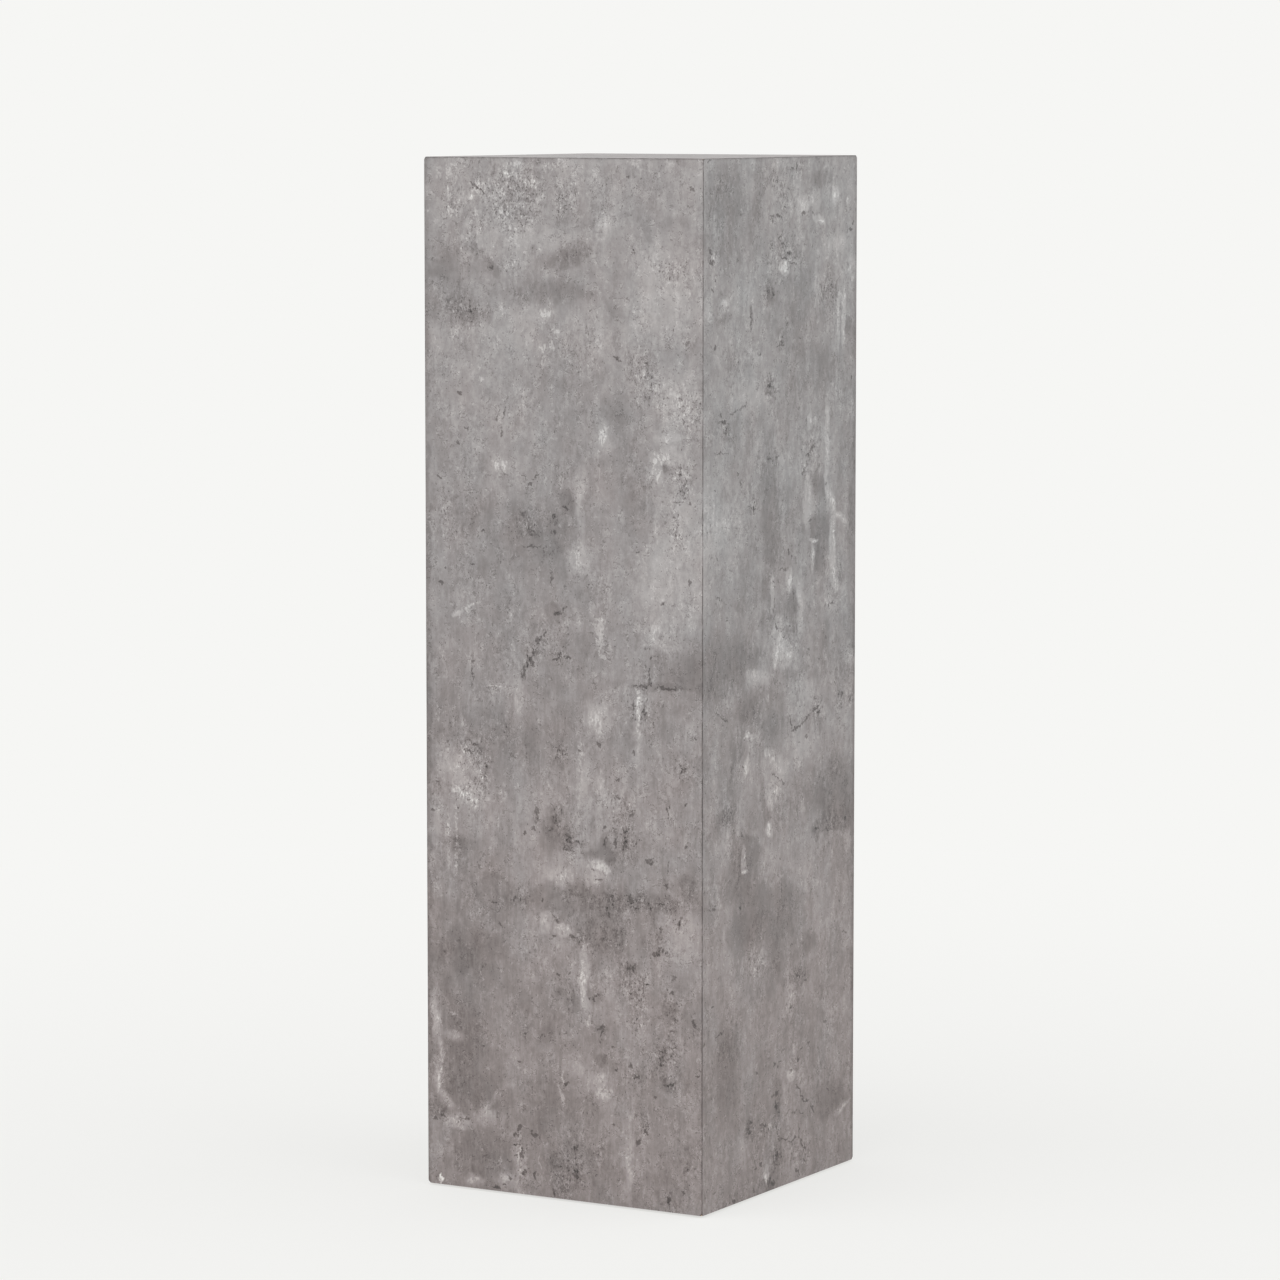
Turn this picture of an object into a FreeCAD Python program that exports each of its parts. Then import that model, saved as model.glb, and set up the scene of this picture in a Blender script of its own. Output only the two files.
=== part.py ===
"""Pedestal column stand: a square column of laminate-faced boards on four nail-on glides.

Frame: millimetres, +Z up, origin on the floor under the middle of the column.
The front looks along -Y. Left and right are as seen by someone who faces the front.
"""
import FreeCAD, Part
import os

import Sketcher
from FreeCAD import Placement, Rotation, Vector

SIZES = {
    # the column's outside, over the laminate
    "outer_width": 307,  # along X
    "outer_depth": 307,  # along Y
    "column_height": 1000,  # floor to top face
    "foot_gap": 2,  # floor to the lower edge of the sides
    # the laminate skin and the boards that carry it
    "laminate_thickness": 0.8,
    "arris": 0.6,  # how far each sharp outer edge is eased back along both faces
    "corner_ease": 3,  # how far each outer corner point is cut back along its three edges
    "board_thickness": 16,
    # the strips let into the mitres
    "spline_thickness": 4,
    "spline_width": 10,
    "spline_inset": 7.6,  # inner end of a mitre to the middle of its spline
    # the softwood inside
    "batten_size": 20,
    "cleat_width": 20,
    "cleat_height": 20,
    # the boards across the inside
    "base_thickness": 16,
    "brace_thickness": 12,
    "brace_height": 490,  # floor to the underside of the brace
    # the countersunk wood screws
    "screw_radius": 2,
    "screw_head_radius": 4,
    "screw_head_depth": 2.4,
    "screw_length": 30,
    "screw_point": 4,
    "screw_inset": 36,  # end of a cleat to its nearer screw
    "drive_span": 4.6,  # the cross recess in a screw's head, from end to end
    "drive_width": 0.9,
    "drive_depth": 1.6,
    # the glides and their nails
    "glide_radius": 11,
    "glide_height": 5,
    "glide_bevel": 1,
    "glide_inset": 32,  # outer face to the middle of a glide
    "nail_radius": 1,
    "nail_head_radius": 4,
    "nail_head_height": 1.2,
    "nail_length": 15,
    "nail_point": 2,
    "nail_recess": 2,  # glide's underside to the seat of the nail head
    # the room round a spline, a screw or a nail in its slot or hole
    "fit_clearance": 0.1,
}

# each upright side: its name, its turn about Z, and the directions that run along and across it
SIDES = (
    ("front", 0, "width", "depth"),
    ("right", 90, "depth", "width"),
    ("back", 180, "width", "depth"),
    ("left", 270, "depth", "width"),
)

# each upright corner: its name and the signs of its X and Y
CORNERS = (
    ("front_left", -1, -1),
    ("front_right", 1, -1),
    ("back_right", 1, 1),
    ("back_left", -1, 1),
)

RIGHT, FRONT = 1, -1
UP, DOWN = 1, -1

# turns a sketch on the XZ plane so that it runs inwards from the front right corner
DIAGONAL = 135

BOARD_TOP = "(sizes.column_height - sizes.laminate_thickness)"
CEILING = f"({BOARD_TOP} - sizes.board_thickness)"
BASE_TOP = "(sizes.glide_height + sizes.base_thickness)"
TOP_CLEAT_BOTTOM = f"({CEILING} - sizes.cleat_height)"

# the middle of a spline, along its mitre from the outer corner of the boards
SPLINE_MIDDLE = "(sizes.board_thickness * sqrt(2) - sizes.spline_inset)"


def half_outside(direction):
    return f"(sizes.outer_{direction} / 2)"


def half_boards(direction):
    return f"({half_outside(direction)} - sizes.laminate_thickness)"


def half_inside(direction):
    return f"({half_boards(direction)} - sizes.board_thickness)"


def value(expression):
    """What an expression on the sheet comes to now."""
    result = doc.sizes.evalExpression(expression)
    return float(getattr(result, "Value", result))


def origin_plane(body, role):
    return next(item for item in body.Origin.OriginFeatures if item.Role == role)


# ---------------------------------------------------------------- sketches and features

def outline(body, role, points, offset=("0", "0", "0"), turn=0):
    """A closed sketch on an origin plane, turned about its own upright; points are pairs of
    expressions, each one bound."""
    sketch = body.newObject("Sketcher::SketchObject", f"{body.Name}_outline")
    sketch.AttachmentSupport = (origin_plane(body, role), [""])
    sketch.MapMode = "FlatFace"
    sketch.AttachmentOffset = Placement(Vector(), Rotation(Vector(0, 1, 0), turn))
    for axis, distance in zip("xyz", offset):
        sketch.setExpression(f"AttachmentOffset.Base.{axis}", distance)
    places = [Vector(value(across), value(up), 0) for across, up in points]
    count = len(places)
    for index, place in enumerate(places):
        sketch.addGeometry(Part.LineSegment(place, places[(index + 1) % count]), False)
    start, end, root = 1, 2, -1
    for index in range(count):
        sketch.addConstraint(
            Sketcher.Constraint("Coincident", index, end, (index + 1) % count, start))
    for index, pair in enumerate(points):
        for kind, expression in zip(("DistanceX", "DistanceY"), pair):
            bound = sketch.addConstraint(
                Sketcher.Constraint(kind, root, start, index, start, value(expression)))
            sketch.setExpression(f"Constraints[{bound}]", expression)
    return sketch


def new_body(label, turn=0):
    body = doc.addObject("PartDesign::Body", label)
    body.Label = label
    body.AllowCompound = True
    body.Placement = Placement(Vector(), Rotation(Vector(0, 0, 1), turn))
    return body


def pad(body, sketch, length, symmetric=False):
    feature = body.newObject("PartDesign::Pad", f"{body.Name}_pad")
    feature.Profile = sketch
    feature.setExpression("Length", length)
    if symmetric:
        feature.SideType = "Symmetric"
    return feature


def cut_across(body, sketch):
    """Cuts a sketch's outline right through, both ways from its plane."""
    feature = body.newObject("PartDesign::Pocket", f"{body.Name}_cut")
    feature.Profile = sketch
    feature.Type = "ThroughAll"
    feature.SideType = "Symmetric"
    return feature


def turned(body, kind, profile, place):
    """Turns a profile about the upright line through a place: Revolution adds, Groove cuts."""
    across, back, up = place
    sketch = outline(body, "XZ_Plane", profile, (across, up, f"-({back})"))
    feature = body.newObject(f"PartDesign::{kind}", f"{body.Name}_{kind.lower()}")
    feature.Profile = sketch
    feature.ReferenceAxis = (sketch, ["V_Axis"])
    feature.Angle = 360
    return feature


def mirrored(body, features, roles):
    """Repeats features across the named origin planes."""
    pattern = body.newObject("PartDesign::MultiTransform", f"{body.Name}_mirrored")
    pattern.Originals = features
    steps = []
    for role in roles:
        step = doc.addObject("PartDesign::Mirrored", f"{body.Name}_{role}")
        step.MirrorPlane = (origin_plane(body, role), [""])
        steps.append(step)
    pattern.Transformations = steps
    body.Tip = pattern
    return pattern


# ---------------------------------------------------------------- mitres

def on_mitre(corner, inward, kept, distance, depth):
    """The point at a distance from a corner along its 45 degree mitre, then a depth into
    the kept side. inward and kept are pairs of signs."""
    return tuple(
        f"{corner[axis]} + ({inward[axis]} * {distance} + {kept[axis]} * {depth}) * sqrt(2) / 2"
        for axis in (0, 1))


def mitre(corner, inward, kept, steps):
    return [on_mitre(corner, inward, kept, distance, depth) for distance, depth in steps]


def laminate_steps():
    """A laminate's mitred edge from outside to inside: the eased arris, then the mitre."""
    eased = "(sizes.arris * sqrt(2) / 2)"
    return [(eased, eased), (eased, "0"), ("(sizes.laminate_thickness * sqrt(2))", "0")]


def board_steps():
    """A board's mitred edge from outside to inside, with the groove for its spline."""
    half_groove = "(sizes.spline_thickness / 2 + sizes.fit_clearance)"
    groove_depth = "(sizes.spline_width / 2 + sizes.fit_clearance)"
    near = f"({SPLINE_MIDDLE} - {half_groove})"
    far = f"({SPLINE_MIDDLE} + {half_groove})"
    inner_end = "(sizes.board_thickness * sqrt(2))"
    return [("0", "0"), (near, "0"), (near, groove_depth), (far, groove_depth), (far, "0"),
            (inner_end, "0")]


def ease_corner(body, along, across, height, inward):
    """Cuts the column's front right corner point at a height back along its three edges."""
    tip = [("0", height), ("sizes.corner_ease * sqrt(2) / 2", height),
           ("0", f"{height} + {inward} * sizes.corner_ease")]
    place = (half_outside(along), "0", half_outside(across))
    return cut_across(body, outline(body, "XZ_Plane", tip, place, DIAGONAL))


def side_sheet(label, turn, along, across, half, top, steps):
    """An upright sheet, mitred at both sides and at the top, drawn as the front one.
    half gives the sheet's outer half size in a direction."""
    half_along = half(along)
    half_across = half(across)
    body = new_body(label, turn)
    left = mitre((f"-{half_along}", f"-{half_across}"), (1, 1), (1, -1), steps)
    right = mitre((half_along, f"-{half_across}"), (-1, 1), (-1, -1), steps)
    plan = outline(body, "XY_Plane", left + right[::-1], ("0", "0", "sizes.foot_gap"))
    pad(body, plan, f"{top} - sizes.foot_gap")
    slope = mitre((f"-{half_across}", top), (1, -1), (-1, -1), steps)
    waste = slope + [(slope[-1][0], top), (f"-{half_across}", top)]
    if steps[0] == ("0", "0"):
        waste.pop()
    cut_across(body, outline(body, "YZ_Plane", waste))
    eased = [ease_corner(body, along, across, "sizes.column_height", DOWN),
             ease_corner(body, along, across, "sizes.foot_gap", UP)]
    mirrored(body, eased, ["YZ_Plane"])
    return body


def top_sheet(label, half, top, steps):
    """The sheet over the top, mitred all round. half gives its half size in a direction."""
    body = new_body(label)
    half_width = half("width")
    half_depth = half("depth")
    left = mitre((f"-{half_width}", top), (1, -1), (1, 1), steps)
    right = mitre((half_width, top), (-1, -1), (-1, 1), steps)
    pad(body, outline(body, "XZ_Plane", left + right[::-1]), f"2 * {half_depth}", symmetric=True)
    slope = mitre((f"-{half_depth}", top), (1, -1), (1, 1), steps)
    waste = slope + [(f"-{half_depth}", slope[-1][1]), (f"-{half_depth}", top)]
    if steps[0] == ("0", "0"):
        waste.pop()
    front_cut = cut_across(body, outline(body, "YZ_Plane", waste))
    mirrored(body, [front_cut], ["XZ_Plane"])
    eased = ease_corner(body, "width", "depth", "sizes.column_height", DOWN)
    mirrored(body, [eased], ["YZ_Plane", "XZ_Plane"])
    return body


def spline_section(corner, inward, kept):
    half_thickness = "(sizes.spline_thickness / 2)"
    half_width = "(sizes.spline_width / 2)"
    near = f"({SPLINE_MIDDLE} - {half_thickness})"
    far = f"({SPLINE_MIDDLE} + {half_thickness})"
    return mitre(corner, inward, kept, [
        (near, f"-{half_width}"), (near, half_width), (far, half_width), (far, f"-{half_width}")])


def corner_spline(label, sign_x, sign_y):
    """A plywood strip in an upright mitre, from the lower edge to the ceiling."""
    body = new_body(label)
    corner = (f"{sign_x} * {half_boards('width')}", f"{sign_y} * {half_boards('depth')}")
    section = spline_section(corner, (-sign_x, -sign_y), (-sign_x, sign_y))
    pad(body, outline(body, "XY_Plane", section, ("0", "0", "sizes.foot_gap")),
        f"{CEILING} - sizes.foot_gap")
    return body


def top_spline(label, turn, along, across):
    """A plywood strip in a top mitre, between the inner faces of the sides."""
    body = new_body(label, turn)
    section = spline_section((f"-{half_boards(across)}", BOARD_TOP), (1, -1), (-1, -1))
    pad(body, outline(body, "YZ_Plane", section), f"2 * {half_inside(along)}", symmetric=True)
    return body


# ---------------------------------------------------------------- screws, nails and holes

def screw_profile(room="0"):
    """Half of a countersunk screw, head down, with room round it where it is a hole."""
    shank = f"sizes.screw_radius + {room}"
    return [("0", "0"), (f"sizes.screw_head_radius + {room}", "0"),
            (shank, "sizes.screw_head_depth"), (shank, "sizes.screw_length - sizes.screw_point"),
            ("0", f"sizes.screw_length + {room}")]


def nail_profile(room="0"):
    """Half of a flat-headed nail, head down, with room round it where it is a hole."""
    head = f"sizes.nail_head_radius + {room}"
    shank = f"sizes.nail_radius + {room}"
    return [("0", "0"), (head, "0"), (head, "sizes.nail_head_height"),
            (shank, "sizes.nail_head_height"), (shank, "sizes.nail_length - sizes.nail_point"),
            ("0", f"sizes.nail_length + {room}")]


def screw_on_side(side, along, across, height):
    """Where the screw in a side's cleat stands, in that side's own frame."""
    across_place = f"({half_inside(across)} - sizes.cleat_width / 2)"
    along_place = f"({half_inside(along)} - sizes.batten_size - sizes.screw_inset)"
    return (f"{side} * {along_place}", f"-{across_place}", height)


def screw_seeds(height):
    """The two screws that mirroring across both upright planes turns into all eight."""
    in_front = screw_on_side(RIGHT, "width", "depth", height)
    cleat_y, cleat_x, _ = screw_on_side(RIGHT, "depth", "width", height)
    return [in_front, (f"-({cleat_x})", f"-({cleat_y})", height)]


def glide_place(sign_x, sign_y):
    return (f"{sign_x} * ({half_outside('width')} - sizes.glide_inset)",
            f"{sign_y} * ({half_outside('depth')} - sizes.glide_inset)")


def nail_seed():
    return (*glide_place(RIGHT, FRONT), "sizes.nail_recess - sizes.nail_head_height")


def cross_recess(body, place):
    """Cuts the cross recess for a driver into a screw's head, which faces down."""
    end = "sizes.drive_span / 2"
    slot = "sizes.drive_width / 2"
    arms = [(end, slot), (slot, slot), (slot, end)]
    cross = []
    for _, sign_x, sign_y in CORNERS:
        arm = [(f"{sign_x} * {across}", f"{sign_y} * {back}") for across, back in arms]
        cross += arm if sign_x * sign_y > 0 else arm[::-1]
    feature = body.newObject("PartDesign::Pocket", f"{body.Name}_recess")
    feature.Profile = outline(body, "XY_Plane", cross, place)
    feature.Reversed = True
    feature.setExpression("Length", "sizes.drive_depth")
    return feature


def screws(label, height):
    """All eight screws whose heads lie at one height, as one group."""
    body = new_body(label)
    features = []
    for place in screw_seeds(height):
        features.append(turned(body, "Revolution", screw_profile(), place))
        features.append(cross_recess(body, place))
    mirrored(body, features, ["YZ_Plane", "XZ_Plane"])
    return body


def nails(label):
    """The nails of all four glides, as one group."""
    body = new_body(label)
    mirrored(body, [turned(body, "Revolution", nail_profile(), nail_seed())],
             ["YZ_Plane", "XZ_Plane"])
    return body


def drill(body, holes):
    """Cuts holes, each a profile and a place, and their mirror images."""
    seeds = [turned(body, "Groove", profile, place) for profile, place in holes]
    mirrored(body, seeds, ["YZ_Plane", "XZ_Plane"])


def glide(label, sign_x, sign_y):
    """A nail-on glide: a bevelled disc with a recess below for the nail's head."""
    body = new_body(label)
    bore = "sizes.nail_radius + sizes.fit_clearance"
    recess = "sizes.nail_head_radius + sizes.fit_clearance"
    profile = [(bore, "sizes.nail_recess"), (recess, "sizes.nail_recess"), (recess, "0"),
               ("sizes.glide_radius - sizes.glide_bevel", "0"),
               ("sizes.glide_radius", "sizes.glide_bevel"),
               ("sizes.glide_radius", "sizes.glide_height"), (bore, "sizes.glide_height")]
    turned(body, "Revolution", profile, (*glide_place(sign_x, sign_y), "0"))
    return body


# ---------------------------------------------------------------- timber and boards inside

def rectangle(left, right, front, back):
    return [(left, front), (right, front), (right, back), (left, back)]


def batten(label, sign_x, sign_y):
    """A post glued into an upright corner, from the base board to the ceiling."""
    body = new_body(label)
    outer_x = f"{sign_x} * {half_inside('width')}"
    outer_y = f"{sign_y} * {half_inside('depth')}"
    inner_x = f"{sign_x} * ({half_inside('width')} - sizes.batten_size)"
    inner_y = f"{sign_y} * ({half_inside('depth')} - sizes.batten_size)"
    plan = outline(body, "XY_Plane", rectangle(outer_x, inner_x, outer_y, inner_y),
                   ("0", "0", BASE_TOP))
    pad(body, plan, f"{CEILING} - {BASE_TOP}")
    return body


def cleat(label, turn, along, across, bottom, screw_head):
    """A strip along one side between two battens, with its two screw holes."""
    body = new_body(label, turn)
    end = f"({half_inside(along)} - sizes.batten_size)"
    outer = f"-{half_inside(across)}"
    plan = rectangle(f"-{end}", end, outer, f"{outer} + sizes.cleat_width")
    pad(body, outline(body, "XY_Plane", plan, ("0", "0", bottom)), "sizes.cleat_height")
    hole = turned(body, "Groove", screw_profile("sizes.fit_clearance"),
                  screw_on_side(RIGHT, along, across, screw_head))
    mirrored(body, [hole], ["YZ_Plane"])
    return body


def base_board():
    """The board that closes the underside, set up inside the sides on the glides."""
    body = new_body("base_board")
    half_x = half_inside("width")
    half_y = half_inside("depth")
    plan = rectangle(f"-{half_x}", half_x, f"-{half_y}", half_y)
    pad(body, outline(body, "XY_Plane", plan, ("0", "0", "sizes.glide_height")),
        "sizes.base_thickness")
    screw_hole = screw_profile("sizes.fit_clearance")
    holes = [(screw_hole, place) for place in screw_seeds("sizes.glide_height")]
    drill(body, holes + [(nail_profile("sizes.fit_clearance"), nail_seed())])
    return body


def brace_board():
    """The board across the middle, notched round the battens, that keeps the sides flat."""
    body = new_body("brace_board")
    half_x = half_inside("width")
    half_y = half_inside("depth")
    notch_x = f"({half_x} - sizes.batten_size)"
    notch_y = f"({half_y} - sizes.batten_size)"
    plan = []
    for _, sign_x, sign_y in CORNERS:
        notch = [(f"{sign_x} * {half_x}", f"{sign_y} * {notch_y}"),
                 (f"{sign_x} * {notch_x}", f"{sign_y} * {notch_y}"),
                 (f"{sign_x} * {notch_x}", f"{sign_y} * {half_y}")]
        plan += notch if sign_x * sign_y > 0 else notch[::-1]
    pad(body, outline(body, "XY_Plane", plan, ("0", "0", "sizes.brace_height")),
        "sizes.brace_thickness")
    return body


# ---------------------------------------------------------------- the whole column

def fill_sheet():
    sheet = doc.addObject("Spreadsheet::Sheet", "sizes")
    for row, (alias, number) in enumerate(SIZES.items(), 1):
        sheet.set(f"A{row}", alias)
        sheet.set(f"B{row}", str(number))
        sheet.setAlias(f"B{row}", alias)
    doc.recompute()


def build_column():
    pieces = []
    for side, turn, along, across in SIDES:
        pieces.append(side_sheet(f"{side}_laminate", turn, along, across, half_outside,
                                 "sizes.column_height", laminate_steps()))
        pieces.append(side_sheet(f"{side}_board", turn, along, across, half_boards,
                                 BOARD_TOP, board_steps()))
        pieces.append(top_spline(f"top_{side}_spline", turn, along, across))
        pieces.append(cleat(f"top_{side}_cleat", turn, along, across,
                            TOP_CLEAT_BOTTOM, TOP_CLEAT_BOTTOM))
        pieces.append(cleat(f"base_{side}_cleat", turn, along, across,
                            BASE_TOP, "sizes.glide_height"))
    pieces.append(top_sheet("top_laminate", half_outside, "sizes.column_height",
                            laminate_steps()))
    top_board = top_sheet("top_board", half_boards, BOARD_TOP, board_steps())
    screw_hole = screw_profile("sizes.fit_clearance")
    drill(top_board, [(screw_hole, place) for place in screw_seeds(TOP_CLEAT_BOTTOM)])
    pieces += [top_board, base_board(), brace_board()]
    for corner, sign_x, sign_y in CORNERS:
        pieces.append(corner_spline(f"{corner}_spline", sign_x, sign_y))
        pieces.append(batten(f"{corner}_batten", sign_x, sign_y))
        pieces.append(glide(f"{corner}_glide", sign_x, sign_y))
    pieces.append(screws("top_screws", TOP_CLEAT_BOTTOM))
    pieces.append(screws("base_screws", "sizes.glide_height"))
    pieces.append(nails("glide_nails"))
    return pieces


def write_pieces(pieces):
    """Writes each piece to its own file, once the whole document is sound."""
    doc.recompute()
    faults = [item.Label for item in doc.Objects
              if "Invalid" in item.State or "Error" in item.State]
    faults += [piece.Label for piece in pieces
               if piece.Shape.isNull() or not piece.Shape.isValid()]
    if faults:
        raise RuntimeError("not sound: " + ", ".join(sorted(set(faults))))
    os.makedirs("parts", exist_ok=True)
    for piece in pieces:
        piece.Shape.exportStep(f"parts/{piece.Label}.step")


doc = FreeCAD.newDocument("pedestal_column")
fill_sheet()
write_pieces(build_column())
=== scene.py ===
# Pedestal column: a printed concrete decor on its laminate, raw board and timber behind it,
# and a plain pale studio. The scene is in metres; the decor is laid out in millimetres.
from math import radians

import bmesh
import bpy
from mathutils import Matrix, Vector


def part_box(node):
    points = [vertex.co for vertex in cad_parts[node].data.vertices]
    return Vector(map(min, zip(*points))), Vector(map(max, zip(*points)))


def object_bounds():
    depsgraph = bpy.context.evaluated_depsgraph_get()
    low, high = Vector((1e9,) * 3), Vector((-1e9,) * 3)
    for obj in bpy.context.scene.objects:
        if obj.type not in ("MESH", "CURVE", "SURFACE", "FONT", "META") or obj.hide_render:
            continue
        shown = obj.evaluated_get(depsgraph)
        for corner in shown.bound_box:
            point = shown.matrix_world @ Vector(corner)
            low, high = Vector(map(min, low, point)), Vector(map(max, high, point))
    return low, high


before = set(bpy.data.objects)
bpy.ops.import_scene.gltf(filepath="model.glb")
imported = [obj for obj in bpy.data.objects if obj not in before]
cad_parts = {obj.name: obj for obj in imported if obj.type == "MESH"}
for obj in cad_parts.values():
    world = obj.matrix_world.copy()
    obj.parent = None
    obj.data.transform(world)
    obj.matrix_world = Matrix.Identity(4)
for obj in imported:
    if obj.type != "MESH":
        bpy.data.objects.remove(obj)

MM = 1000  # millimetres in a metre

cad_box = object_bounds()
column_low, column_high = (Vector(corner) for corner in cad_box)
skirt_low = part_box("front_laminate")[0].z
WIDTH = (column_high.x - column_low.x) * MM
DEPTH = (column_high.y - column_low.y) * MM
HEIGHT = column_high.z * MM


# ---------------------------------------------------------------- nodes and colours

def linear(code):
    """Turns an sRGB hex colour into the linear one that a shader reads."""
    channels = [int(code[place:place + 2], 16) / 255 for place in (1, 3, 5)]
    return (*[c / 12.92 if c <= 0.04045 else ((c + 0.055) / 1.055) ** 2.4 for c in channels], 1)


def tone_of(code):
    """How light an sRGB hex colour is, from 0 to 1 on the same sRGB scale."""
    return sum(int(code[place:place + 2], 16) for place in (1, 3, 5)) / (3 * 255)


def add(tree, kind, inputs, output=0, stops=(), **settings):
    """Adds one shader node with its settings and links, and returns one of its outputs. The
    stops are a colour ramp's own, as (place, hex colour)."""
    node = tree.nodes.new(f"ShaderNode{kind}")
    for name, setting in settings.items():
        setattr(node, name, setting)
    for key, given in inputs.items():
        if isinstance(given, bpy.types.NodeSocket):
            tree.links.new(given, node.inputs[key])
        else:
            node.inputs[key].default_value = given
    if stops:
        elements = node.color_ramp.elements
        while len(elements) < len(stops):
            elements.new(0.5)
        for element, (place, code) in zip(elements, stops):
            element.position = place
            element.color = linear(code)
    return node.outputs[output]


def lumps(tree, place, across, up, shift, detail=2.0, roughness=0.7, output="Fac"):
    """Noise in lumps across by up millimetres, slid along by a shift so that layers differ."""
    sized = add(tree, "Mapping",
                {"Vector": place, "Location": (shift, 2 * shift, 0), "Scale": (across, up, 1)},
                vector_type="TEXTURE")
    return add(tree, "TexNoise",
               {"Vector": sized, "Scale": 1.0, "Detail": detail, "Roughness": roughness},
               output, noise_dimensions="2D")


SMOOTH = {"interpolation_type": "SMOOTHSTEP"}  # a Map Range that eases in and out


def weighted(tree, base, factor, weight, centre=0.0):
    """base + (factor - centre) * weight"""
    offset = add(tree, "Math", {0: base, 1: -centre * weight}, operation="ADD")
    return add(tree, "Math", {0: factor, 1: weight, 2: offset}, operation="MULTIPLY_ADD")


def layered(tree, tone, factor, low, high, weight, centre=0.0, mask=None):
    """The tone and a layer that sets in as the factor goes from low to high, under a mask."""
    layer = add(tree, "MapRange", {"Value": factor, "From Min": low, "From Max": high}, **SMOOTH)
    if mask is not None:
        layer = add(tree, "Math", {0: layer, 1: mask}, operation="MULTIPLY")
    return weighted(tree, tone, layer, weight, centre)


# ---------------------------------------------------------------- the decor's own marks
# Each mark is a soft ellipse, given as across from the front's left edge, up from the
# floor, half width and half height in millimetres, how much lighter or darker it is, and, if it
# is turned, by how many degrees. The front is 0 to 307 mm across, and the right side goes on to
# 614 mm.

# The last two rows are painted shade down the two outer corners.
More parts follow.
